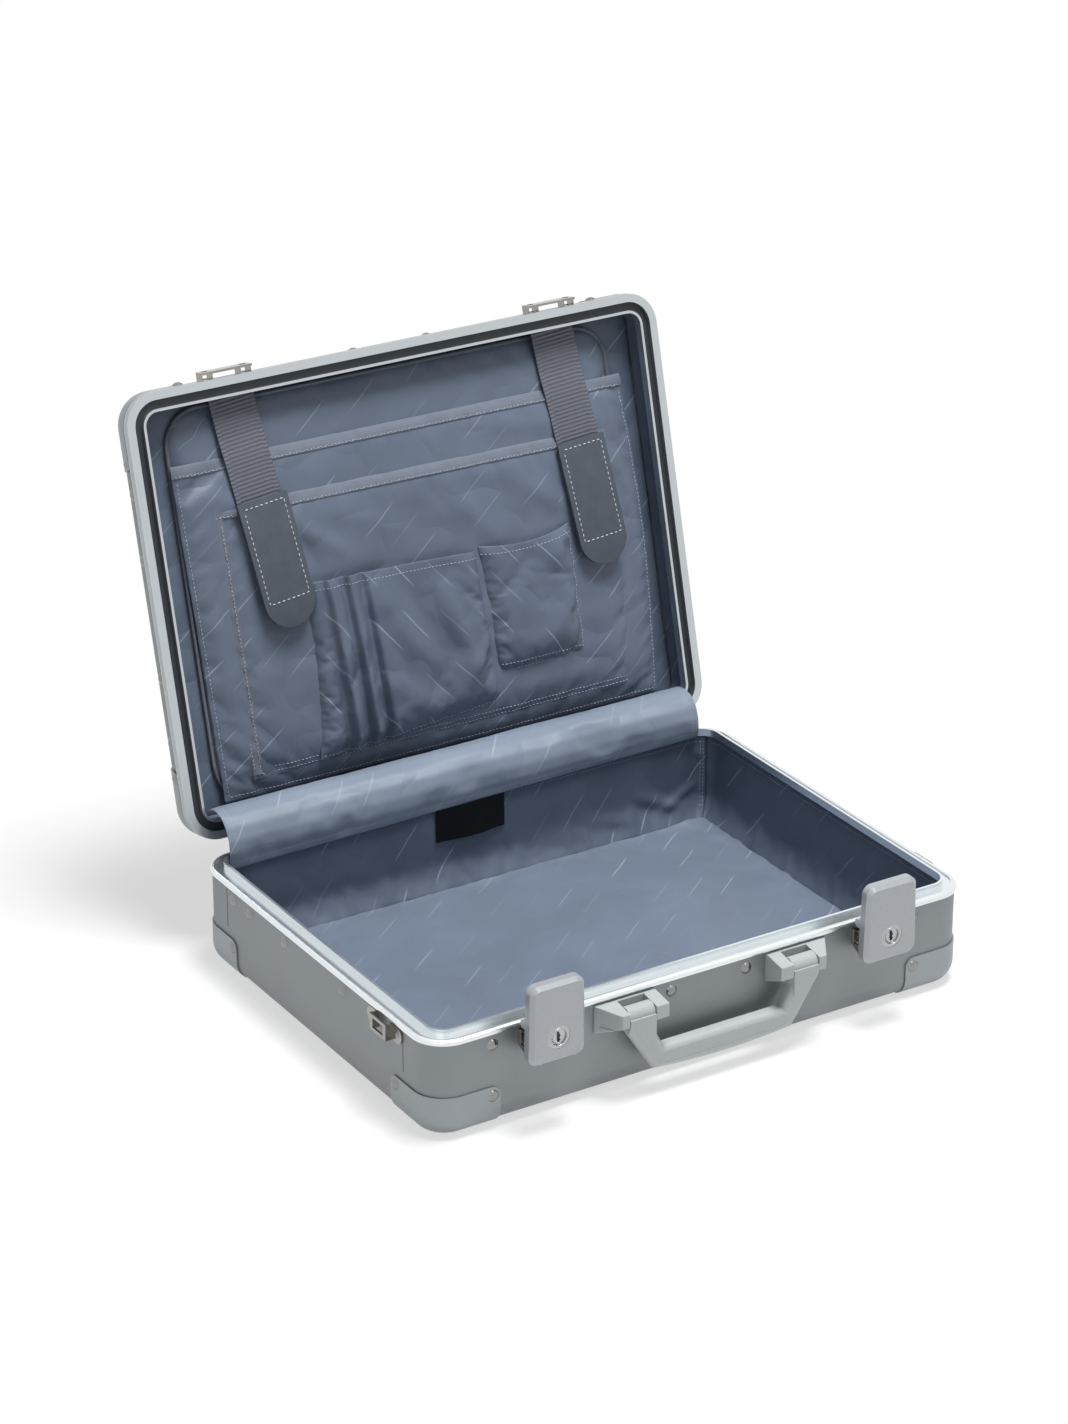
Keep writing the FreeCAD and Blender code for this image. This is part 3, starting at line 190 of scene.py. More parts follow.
@dataclass(frozen=True)
class Solid:
    """A hard or dull material whose colour, sheen and fine relief vary a little.

    Cloud is the scale, detail and share of the colour's mottling, uneven the scale
    and the least and greatest share of the roughness, and grain the scale, detail
    and depth of the relief.
    """

    name: str
    colour: str
    roughness: float
    cloud: Trio
    grain: Trio
    metallic: float = 0.0
    uneven: Trio | None = None
    gloss: float = 0.5

    def make(self) -> bpy.types.Material:
        """Build the material."""
        n = Surface(self.name)
        scale, detail, share = self.cloud
        n.set(Base_Color=n.tint(self.colour, n.speckle(scale, detail), 1 - share, 1 + share),
              Metallic=self.metallic, Roughness=self.roughness, Specular_IOR_Level=self.gloss)
        if self.uneven:
            scale, least, most = self.uneven
            n.set(Roughness=n.spread(scale, self.roughness * least, self.roughness * most))
        scale, detail, depth = self.grain
        n.bump(n.speckle(scale, detail), depth)
        return n.material


def metal(name: str, colour: str, roughness: float, metallic: float = 1.0,
          grain: float = 0.000008, patches: float = 0.05) -> Solid:
    """Return a metal with a fine grain and slight patches in its sheen."""
    return Solid(name, colour, roughness, (22.0, 4.0, patches), (2600.0, 2.0, grain), metallic,
                 (60.0, 1 - 2 * patches, 1 + 2 * patches))


def plastic(name: str, colour: str, roughness: float, metallic: float, texture: float) -> Solid:
    """Return a moulded plastic with a fine eroded texture and a metallic pigment."""
    return Solid(name, colour, roughness, (900.0, 3.0, 0.04), (1500.0, 3.0, texture), metallic,
                 (40.0, 0.9, 1.1))


def plain(name: str, colour: str, roughness: float, gloss: float = 0.5) -> Solid:
    """Return a dull material with a slight grain, for rubber, thread and dark satin."""
    return Solid(name, colour, roughness, (1200.0, 2.0, 0.1), (1200.0, 2.0, 0.00001),
                 gloss=gloss)


class Slant(Enum):
    """Which way the woven dashes of a cloth run, as a turn in degrees."""

    RISING = -38.0
    FALLING = 54.0


@dataclass(frozen=True)
class Nylon:
    """The satin nylon lining: a fine twill with thin pale dashes woven in slantwise."""

    name: str
    colour: str
    dash: str
    slant: Slant
    crease: float = 0.003
    roughness: float = 0.36
    weave: float = 0.0008
    dash_pitch: float = 0.0215
    dash_width: float = 0.0011
    dash_cell: float = 0.064
    dash_share: float = 0.6
    dash_kept: float = 0.12
    dash_strength: float = 0.62

    def dashes(self, n: Surface, cloth: Socket) -> Socket:
        """Return a mask of the dashes, each with its own strength and soft ends."""
        turn = n.add("Mapping", {"Rotation": (0, 0, math.radians(self.slant.value)),
                                 "Vector": cloth})
        split = n.add("SeparateXYZ", {0: turn.outputs[0]}).outputs
        rows = n.math("DIVIDE", split["Y"], self.dash_pitch)
        row = n.math("FLOOR", rows)
        across = n.math("ABSOLUTE", n.math("SUBTRACT", n.math("FRACT", rows), 0.5))
        line = n.math("LESS_THAN", across, self.dash_width / self.dash_pitch / 2)
        odd = n.add("TexWhiteNoise", {"W": row}, noise_dimensions="1D").outputs["Value"]
        along = n.math("ADD", n.math("DIVIDE", split["X"], self.dash_cell),
                       n.math("MULTIPLY", odd, 7.0))
        reach_out = n.math("ABSOLUTE", n.math("SUBTRACT", n.math("FRACT", along), 0.5))
        fade = n.add("MapRange", {"From Min": self.dash_share / 2,
                                  "From Max": self.dash_share / 2 - 0.12, "Value": reach_out})
        both = n.add("CombineXYZ", {0: row, 1: n.math("FLOOR", along)})
        pick = n.add("TexWhiteNoise", {"Vector": both.outputs[0]}, noise_dimensions="2D")
        kept = n.add("MapRange", {"From Min": self.dash_kept, "Value": pick.outputs["Value"]})
        return n.math("MULTIPLY", n.math("MULTIPLY", line, fade.outputs[0]), kept.outputs[0])

    def make(self) -> bpy.types.Material:
        """Build the material."""
        n = Surface(self.name)
        cloth = n.add("UVMap", uv_map="UVMap").outputs[0]
        mask = n.math("MULTIPLY", self.dashes(n, cloth), self.dash_strength)
        mix = n.add("MixRGB", {0: mask, 1: n.tint(self.colour, n.speckle(14.0, 3.0), 0.93, 1.07),
                               2: (*linear(self.dash), 1)})
        n.set(Base_Color=mix.outputs[0],
              Roughness=n.spread(35.0, self.roughness - 0.05, self.roughness + 0.07),
              Sheen_Weight=0.04, Sheen_Roughness=0.35, Sheen_Tint=(*linear("c3cad6"), 1),
              Specular_IOR_Level=0.28)
        twill = n.add("TexWave", {"Scale": 1 / self.weave, "Vector": cloth},
                      wave_type="BANDS", bands_direction="DIAGONAL")
        n.bump(twill.outputs["Fac"], 0.00003)
        n.bump(n.speckle(240.0, 3.0), 0.00012)
        ridges = n.math("ABSOLUTE", n.math("SUBTRACT", n.speckle(19.0, 1.2), 0.5))
        n.bump(ridges, self.crease)
        return n.material


@dataclass(frozen=True)
class Ribbed:
    """A woven strip: webbing or binding, with threads across it. Its colour is darker in the hollows of the ribs
    and lighter on their crests: painted shade and painted light.
    """

    name: str
    colour: str
    rib: float
    depth: float = 0.00012
    # The share of the colour in the painted shade of the ribs' hollows.
    low: float = 0.72
    thread: float = 0.0009

    def make(self) -> bpy.types.Material:
        """Build the material."""
        n = Surface(self.name)
        split = n.add("SeparateXYZ", {0: n.add("UVMap", uv_map="UVMap").outputs[0]}).outputs
        wave, across = (n.math("SINE", n.math("MULTIPLY", split[axis], 2 * math.pi / pitch))
                        for axis, pitch in (("Y", self.rib), ("X", self.thread)))
        weave = n.math("ADD", wave, n.math("MULTIPLY", across, 0.35))
        level = n.math("ADD", n.math("MULTIPLY", weave, 0.3), 0.5)
        # The colour follows the ribs: painted shade in their hollows, painted light on their crests.
        n.set(Base_Color=n.tint(self.colour, level, self.low, 1.12, 0.1, 0.9), Roughness=0.62,
              Sheen_Weight=0.04, Specular_IOR_Level=0.3)
        n.bump(weave, self.depth)
        return n.material


@dataclass(frozen=True)
class Leather:
    """Smooth dark leather with a fine pebble grain."""

    name: str
    colour: str

    def make(self) -> bpy.types.Material:
        """Build the material."""
        n = Surface(self.name)
        n.set(Base_Color=n.tint(self.colour, n.speckle(90.0, 4.0), 0.88, 1.12), Roughness=0.55)
        pebble = n.add("TexVoronoi", {"Scale": 900.0, "Vector": n.place()},
                       feature="DISTANCE_TO_EDGE")
        n.bump(pebble.outputs["Distance"], 0.00006, 0.6)
        return n.material


def make_finishes() -> Finishes:
    """Return the material of every finish, by name; the record's slots are among the names."""
    finishes = [
        metal("satin_sheet", "898e91", 0.5, 0.65, patches=0.02),
        metal("cap_metal", "949a9d", 0.42, 0.75, patches=0.02),
        metal("bright_rim", "e4e9eb", 0.24, 0.95, 0.000002, 0.015),
        # The lid's frame: the rim metal again, darker, with painted shade in its colour.
        metal("lid_rim", "bfc5c8", 0.28, 0.9, 0.000002, 0.015),
        metal("rivet_metal", "8c8d8b", 0.2, patches=0.1),
        metal("nickel", "95928c", 0.16, patches=0.1),
        metal("lock_steel", "b4b6b8", 0.3, patches=0.06),
        plastic("latch_grey", "a6aaae", 0.36, 0.4, 0.00001),
        plastic("handle_grey", "aaafb1", 0.55, 0.0, 0.00003),
        Nylon("lining_blue", "6d7889", "a3adbb", Slant.RISING),
        # A darker copy of the lining for the lid's face and walls: painted shade.
        Nylon("lid_cloth_shaded", "5a6576", "98a3b2", Slant.RISING, 0.006),
        # A darker copy of the lining, with its dashes turned the other way; the darker colour is painted shade for
        # the base's back and right walls.
        Nylon("lining_turned_shaded", "576273", "98a3b2", Slant.FALLING),
        # A lighter copy of the lining for the hinge flap, which faces up to the lamps: painted light.
        Nylon("flap_blue_lit", "838f9f", "abb6c4", Slant.FALLING, 0.005),
        # Darker copies of the lining for the organiser and its pockets, the small pleated and flat ones darkest:
        # painted shade.
        Nylon("pocket_blue", "616c7d", "9ba6b5", Slant.RISING, 0.006),
        Nylon("pocket_small_shaded", "5c6778", "9ba6b5", Slant.FALLING, 0.008),
        # Ribbed strips carry painted shade and painted light on their ribs.
        Ribbed("binding_grey", "6d7482", 0.0007, 0.00005),
        Ribbed("webbing", "696c77", 0.003, low=0.5),
        Leather("tab_leather", "3e4650"),
        plain("thread_pale", "aab1bd", 0.6),
        plain("thread_white", "c3c8d0", 0.6),
        plain("gasket", "1f252a", 0.55),
        plain("label", "0b0b0e", 0.35, 0.16),
        # The dark of the key slot, which is painted shade, and of the marks round it.
        plain("keyway_shade_and_marks", "101214", 0.6),
    ]
    return {finish.name: finish.make() for finish in finishes}


# Meshes


def alone(piece: Piece) -> None:
    """Deselect everything else and make a piece the active one."""
    for other in bpy.context.selected_objects:
        other.select_set(False)
    piece.select_set(True)
    bpy.context.view_layer.objects.active = piece


def edit(piece: Piece, *steps: tuple[Callable, dict]) -> None:
    """Run operators in edit mode, each with its settings, on all of a piece."""
    alone(piece)
    bpy.ops.object.mode_set(mode="EDIT")
    bpy.ops.mesh.select_all(action="SELECT")
    for operator, settings in steps:
        operator(**settings)
    bpy.ops.object.mode_set(mode="OBJECT")


def modify(piece: Piece, name: str, kind: str, **settings: object) -> bpy.types.Modifier:
    """Add a modifier of a kind to a piece, and return it with its settings made."""
    modifier = piece.modifiers.new(name, kind)
    for key, value in settings.items():
        setattr(modifier, key, value)
    return modifier


def apply_all(piece: Piece) -> None:
    """Apply every modifier of a piece."""
    alone(piece)
    for modifier in list(piece.modifiers):
        bpy.ops.object.modifier_apply(modifier=modifier.name)


def smooth(piece: Piece, degrees: float = 60.0) -> None:
    """Shade a piece smooth except at its sharp edges."""
    alone(piece)
    bpy.ops.object.shade_smooth_by_angle(angle=math.radians(degrees))


def thicken(piece: Piece, thick: float, levels: int = 0) -> None:
    """Give a face its thickness behind it, subdivide it and shade it smooth."""
    modify(piece, "wall", "SOLIDIFY", thickness=thick, offset=-1)
    if levels:
        modify(piece, "round", "SUBSURF", levels=levels, render_levels=levels)
    apply_all(piece)
    smooth(piece)


def new_piece(name: str, points: Sequence, faces: Sequence[Sequence[int]]) -> Piece:
    """Return a new piece with a mesh of points and faces."""
    mesh = bpy.data.meshes.new(name)
    mesh.from_pydata(points, [], faces)
    piece = bpy.data.objects.new(name, mesh)
    bpy.context.scene.collection.objects.link(piece)
    return piece


def get(items: bpy.types.bpy_prop_collection, key: str, wide: int = 3) -> Array:
    """Return a property of every mesh item, as one row of numbers each."""
    values = np.zeros(len(items) * wide, np.float32)
    items.foreach_get(key, values)
    return values.reshape(-1, wide).astype(float)


def put(mesh: bpy.types.Mesh, points: Array) -> None:
    """Move a mesh's points."""
    mesh.vertices.foreach_set("co", points.astype(np.float32).ravel())
    mesh.update()


def dress(piece: Piece, material: bpy.types.Material, body: str,
          replaces: Sequence[str] = ()) -> Piece:
    """Give a piece its material and the body that it rides on.

    Args:
        piece: The finished piece.
        material: Its material.
        body: The body that it moves with, or nothing where it is blended.
        replaces: The CAD nodes that it stands for.

    Returns:
        The piece.
    """
    piece.data.materials.clear()
    piece.data.materials.append(material)
    if replaces:
        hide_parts(*replaces)
    if body:
        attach(piece, body)
    log.info("%s: %d faces", piece.name, len(piece.data.polygons))
    return piece


class Plane:
    """A flat frame in space: across, up and out, with a point as its start."""

    def __init__(self, start: Vector, *ways: Vector) -> None:
        """Keep the frame's start and its three directions."""
        self.start, self.turn = np.array(start), np.array(ways)
        self.out = self.turn[2]

    def place(self, *parts: Array) -> Array:
        """Return points given as across, up and out, in the case's own frame."""
        return self.start + np.column_stack(parts) @ self.turn


def lid_plane() -> Plane:
    """Return the open lid's plane: across the case, away from the hinge, out of the lid."""
    joint = next(j for j in frame["joints"] if j["name"] == "lid_hinge")
    turn = Matrix.Rotation(-math.radians(joint["range_deg"][1]), 3, "X")
    return Plane(Vector(joint["pos_m"]),
                 *(turn @ Vector(way) for way in ((1, 0, 0), (0, -1, 0), (0, 0, -1))))


# Paths and folds


def unit(ways: Array) -> Array:
    """Return directions at unit length."""
    return ways / (np.linalg.norm(ways, axis=-1, keepdims=True) + 1e-12)


def reach(path: Array) -> Array:
    """Return how far along a path each of its points lies."""
    return np.concatenate([[0], np.cumsum(np.linalg.norm(np.diff(path, axis=0), axis=1))])


def follow(values: Array, places: Array, where: Array) -> Array:
    """Return rows of values, known at places along a path, at other places of it."""
    return np.column_stack([np.interp(where, places, column) for column in values.T])


def rounded_outline(half: Pair, corner: float, along: Array, inward: Array) -> Array:
    """Return points along a rectangle with rounded corners, round the origin.

    Args:
        half: Half its size in X and Y.
        corner: The corners' radius.
        along: Distances along it from the middle of its -Y side, anticlockwise.
        inward: How far each point is moved in.

    Returns:
        A row of X and Y for each distance.
    """
    straight = np.array(half) - corner
    arc = math.pi / 2 * corner
    bounds = np.cumsum([0, *[2 * straight[0], arc, 2 * straight[1], arc] * 2])
    t = np.mod(along + straight[0], bounds[-1])
    part = np.searchsorted(bounds[1:], t, side="right").clip(0, 7)
    run, side, bent = t - bounds[part], part // 2, part % 2
    corners = np.array([(-1, -1), (1, -1), (1, 1), (-1, 1)]) * straight
    angle = side * math.pi / 2
    centre = corners[(side + bent) % 4]
    centre = centre + np.stack([np.cos(angle), np.sin(angle)], 1) * (run * (1 - bent))[:, None]
    angle = angle - math.pi / 2 + bent * run / corner
    return centre + (corner - inward)[:, None] * np.stack([np.cos(angle), np.sin(angle)], 1)


def value_noise(x: Array, y: Array, scale: float, seed: float) -> Array:
    """Return smooth noise from -1 to 1 over two arrays of places."""
    return np.array([noise.noise(Vector((a / scale, b / scale, seed))) for a, b in zip(x, y)])


def ease(x: Array, start: float, end: float) -> Array:
    """Return a smooth step from 0 at start to 1 at end."""
    t = np.clip((x - start) / (end - start), 0, 1)
    return t * t * (3 - 2 * t)


def ridge(x: Array, y: Array, x0: float, y0: float, x1: float, y1: float, width: float,
          height: float) -> Array:
    """Return how far a soft ridge, or a valley of negative height, raises each place.

    Args:
        x: The places across a cloth.
        y: The places along it.
        x0: Where the ridge starts across.
        y0: Where it starts along.
        x1: Where it ends across.
        y1: Where it ends along.
        width: Its width.
        height: Its height.

    Returns:
        The lift of each place.
    """
    run = np.array([x1 - x0, y1 - y0])
    held = np.clip(((x - x0) * run[0] + (y - y0) * run[1]) / (run @ run), 0, 1)
    away = np.hypot(x - x0 - held * run[0], y - y0 - held * run[1])
    taper = 0.3 + 0.7 * np.sin(np.pi * np.clip(held, 0.02, 0.98))
    return height * taper * np.exp(-(away / width) ** 2)


# Cloth and thread


class Cloth:
    """A sheet of cloth as a regular grid, whose points can be asked for by flat place."""

    def __init__(self, name: str, width: float, length: float, step: float,
                 shape: Callable[[Array, Array], Array]) -> None:
        """Lay the grid and move its points into shape.

        Args:
            name: The piece's name.
            width: The flat width.
            length: The flat length.
            step: The grid's spacing.
            shape: Gives points in space for flat places from 0 to width and 0 to length.
        """
        self.width, self.length, self.side = width, length, 1.0
        bpy.ops.mesh.primitive_grid_add(x_subdivisions=max(2, round(width / step)),
                                        y_subdivisions=max(2, round(length / step)), size=1)
        self.piece = bpy.context.active_object
        self.piece.name = name
        flat = self.read()
        across, along = flat[:, 0] + 0.5, flat[:, 1] + 0.5
        self.columns, self.rows = (len(np.unique(np.round(a, 5))) - 1 for a in (across, along))
        self.index = np.zeros((self.rows + 1, self.columns + 1), int)
        self.index[np.rint(along * self.rows).astype(int),
                   np.rint(across * self.columns).astype(int)] = np.arange(len(flat))
        self.u, self.v = across * width, along * length
        put(self.piece.data, shape(self.u, self.v))
        layer = self.piece.data.uv_layers[0]
        flat = get(layer.data, "uv", 2) * (width, length)
        layer.data.foreach_set("uv", flat.ravel().astype(np.float32))
        layer.name = "UVMap"

    def read(self) -> Array:
        """Return the mesh's points."""
        return get(self.piece.data.vertices, "co")

    def face(self, out: Array) -> None:
        """Turn the faces towards a direction, and note which way the grid itself looks."""
        mesh = self.piece.data
        if (get(mesh.polygons, "normal") @ np.array(out)).mean() < 0:
            mesh.flip_normals()
        grid = self.read()[self.index]
        normal = np.cross(grid[0, 1] - grid[0, 0], grid[1, 0] - grid[0, 0])
        self.side = 1.0 if normal @ out > 0 else -1.0

    def thicken(self, thick: float, levels: int = 0) -> None:
        """Keep the cloth's places for at, then give it its thickness behind its face."""
        self.kept = self.read()[self.index]
        thicken(self.piece, thick, levels)

    def settle(self, out: Array, grow: float, most: float, least: float = 0.0005,
               push: float = 0.3, bend: float = 0.35, frames: int = 22, seed: int = 1,
               sewn: str = "lrbt", big: float = 10.0, drift_most: float = 0.0015) -> None:
        """Let the cloth find its own folds between its seams, by a cloth simulation.

        It is simulated ten times as large, and a little fuller than the outline that
        it is sewn to, so it buckles as slack cloth does.

        Args:
            out: The direction out of the cloth.
            grow: How much fuller the cloth is than its outline, as a share.
            most: The furthest that a point may come out.
            least: The furthest that a point may go in.
            push: The light pressure from behind it.
            bend: The cloth's bending stiffness.
            frames: How many steps it has to settle.
            seed: Picks the faint unevenness that it starts from.
            sewn: The sides that are held: left, right, bottom and top.
            big: How many times as large it is simulated.
            drift_most: The furthest that a point may slide along the cloth.
        """
        rest = self.read()
        out = np.array(out) * np.ones_like(rest)
        rough = np.random.default_rng(seed).random(len(rest)) * 0.0002
        put(self.piece.data, (rest + out * rough[:, None]) * big)
        group = self.piece.vertex_groups.new(name="sewn")
        group.add(np.flatnonzero(self.edges(sewn)).tolist(), 1.0, "REPLACE")
        slack = modify(self.piece, "slack", "CLOTH")
        for key, value in {
                "mass": 0.3, "tension_stiffness": 15, "compression_stiffness": 15,
                "shear_stiffness": 5, "bending_stiffness": bend, "vertex_group_mass": "sewn",
                "shrink_min": -grow, "shrink_max": -grow, "use_pressure": True,
                "uniform_pressure_force": push * self.side, "air_damping": 2}.items():
            setattr(slack.settings, key, value)
        slack.settings.effector_weights.gravity = 0
        slack.point_cache.frame_start, slack.point_cache.frame_end = 1, frames
        for step in range(1, frames + 1):
            bpy.context.scene.frame_set(step)
        apply_all(self.piece)
        bpy.context.scene.frame_set(1)
        self.piece.vertex_groups.clear()
        moved = self.read() / big - rest
        lift = (moved * out).sum(axis=1)
        drift = moved - lift[:, None] * out
        lift = np.where(lift > 0, most * np.tanh(lift / most), least * np.tanh(lift / least))
        drift *= (drift_most / (drift_most + np.linalg.norm(drift, axis=1)))[:, None]
        put(self.piece.data, rest + self.even(lift)[:, None] * out + drift)

    def even(self, values: Array) -> Array:
        """Return a value of each point evened out a little with its neighbours."""
        grid = values[self.index]
        soft = np.pad(grid, 1, mode="edge")
        soft = (soft[:-2, 1:-1] + soft[2:, 1:-1] + soft[1:-1, :-2] + soft[1:-1, 2:]) / 4
        result = values.copy()
        result[self.index] = 0.5 * grid + 0.5 * soft
        return result

    def edges(self, sides: str) -> Array:
        """Return True for the points on the named sides: left, right, bottom and top."""
        small = 1e-6
        picked = {"l": self.u < small, "r": self.u > self.width - small,
                  "b": self.v < small, "t": self.v > self.length - small}
        return np.any([picked[side] for side in sides], axis=0)

    def at(self, u: Array, v: Array) -> tuple[Array, Array]:
        """Return points on the cloth and the unit directions out of it, for flat places."""
        x = np.clip(u / self.width * self.columns, 0, self.columns - 1e-6)
        y = np.clip(v / self.length * self.rows, 0, self.rows - 1e-6)
        i, j = x.astype(int), y.astype(int)
        a, b = (x - i)[:, None], (y - j)[:, None]
        p00, p10, p01, p11 = (self.kept[j + up, i + on] for up in (0, 1) for on in (0, 1))
        point = (p00 * (1 - a) + p10 * a) * (1 - b) + (p01 * (1 - a) + p11 * a) * b
        return point, unit(np.cross(p10 - p00 + p11 - p01, p01 - p00 + p11 - p10)) * self.side


class Stitching:
    """Rows of sewn stitches, collected and made as one piece."""

    def __init__(self, name: str, thick: float = 0.0005) -> None:
        """Model one stitch, a small spindle along X, to be copied.

        Args:
            name: The piece's name.
            thick: The thread's thickness.
        """
        self.name, self.thick, self.points = name, thick, []
        bpy.ops.mesh.primitive_uv_sphere_add(segments=6, ring_count=4, radius=0.5)
        model = bpy.context.active_object
        edit(model, (bpy.ops.transform.rotate, {"value": math.pi / 2, "orient_axis": "Y",
                                                "center_override": (0, 0, 0)}))
        self.shape = get(model.data.vertices, "co")
        self.faces = [list(p.vertices) for p in model.data.polygons]
        bpy.data.objects.remove(model)

    def row(self, path: Array, normals: Array, pitch: float = 0.0032, share: float = 0.68,
            zigzag: float = 0.0) -> None:
        """Add stitches along a path.

        Args:
            path: Points along the seam.
            normals: Directions out of the cloth at these points.
            pitch: The distance from one stitch to the next.
            share: The share of the pitch that the thread shows.
            zigzag: How far every other stitch end goes to the side.
        """
        places = reach(path)
        count = max(1, int(places[-1] / pitch))
        begin = (np.arange(count) + 0.5 * (1 - share)) * pitch
        first, last = (follow(path, places, begin + on) for on in (0, share * pitch))
        out = unit(follow(normals, places, begin))
        sway = np.cross(out, unit(last - first)) * np.where(np.arange(count) % 2, 1, -1)[:, None]
        first, last = first - zigzag * sway, last + zigzag * sway
        side = np.cross(out, unit(last - first))
        middle = (first + last) / 2 + out * self.thick * 0.15
        x, y, z = (self.shape[None, :, k, None] for k in range(3))
        self.points.extend(middle[:, None] + x * (last - first)[:, None]
                           + self.thick * (y * side[:, None] + z * out[:, None]))

    def seam(self, cloth: Cloth, places: Sequence[Pair], lift: float = 0.0,
             **how: float) -> None:
        """Add stitches along straight runs between flat places of a cloth.

        Args:
            cloth: The cloth.
            places: Flat places across and along.
            lift: How far they stand off the cloth.
            how: The row's pitch, share and zigzag.
        """
        path, out = seam_path(cloth, places)
        self.row(path + out * lift, out, **how)

    def make(self, material: bpy.types.Material, slot: str, body: str) -> Piece:
        """Build all the collected stitches as one piece and dress it."""
        count = len(self.shape)
        faces = [[i + k * count for i in face] for k in range(len(self.points))
                 for face in self.faces]
        piece = new_piece(self.name, np.concatenate(self.points).tolist(), faces)
        smooth(piece, 80)
        return dress(piece, material, body)


def seam_path(cloth: Cloth, places: Sequence[Pair], step: float = 0.0015) -> tuple[Array, Array]:
    """Return close points and normals on a cloth along straight runs between flat places."""
    flat = np.array(places)
    marks = reach(flat)
    steps = np.linspace(0, marks[-1], max(2, int(marks[-1] / step)))
    return cloth.at(*follow(flat, marks, steps).T)


def ribbon(name: str, cloth: Cloth, start: Array, edge: Array, thick: float) -> Piece:
    """Build a strip of binding folded over a cloth's edge, lying on the cloth.

    Args:
        name: The piece's name.
        cloth: The cloth that it binds.
        start: Flat places, one row across and one along, of the strip's inner side.
        edge: Flat places of the cloth's edge beside them.
        thick: How far the strip stands off the cloth.

    Returns:
        The piece, closed all round.
    """
    top, out = cloth.at(*edge)
    up = top - cloth.at(*start)[0]
    profile = [(0.0, 0.15), (0.04, 0.75), (0.25, 1.0), (0.5, 1.0), (0.75, 1.0), (0.94, 0.9),
               (1.03, 0.45), (1.05, -0.2), (1.0, -0.8), (0.5, -0.9), (0.04, -0.7), (0.0, -0.2)]
    rings = []
    for share, lift in profile:
        held = min(share, 1.0)
        point, normal = cloth.at(*(start * (1 - held) + edge * held))
        rings.append(point + up * (share - held) + (normal if share < 0.9 else out) * thick * lift)
    rings = np.stack(rings, 1)
    count, around = rings.shape[:2]
    faces = [[i * around + j, i * around + (j + 1) % around,
              (i + 1) * around + (j + 1) % around, (i + 1) * around + j]
             for i in range(count - 1) for j in range(around)]
    faces += [list(range(around))[::-1], [(count - 1) * around + j for j in range(around)]]
    piece = new_piece(name, rings.reshape(-1, 3).tolist(), faces)
    layer = piece.data.uv_layers.new(name="UVMap")
    runs = reach(top)
    for loop in piece.data.loops:
        i, j = divmod(loop.vertex_index, around)
        layer.data[loop.index].uv = (j * 0.001, runs[i])
    edit(piece, (bpy.ops.mesh.normals_make_consistent, {"inside": False}))
    smooth(piece, 50)
    return piece


# The lining of the base


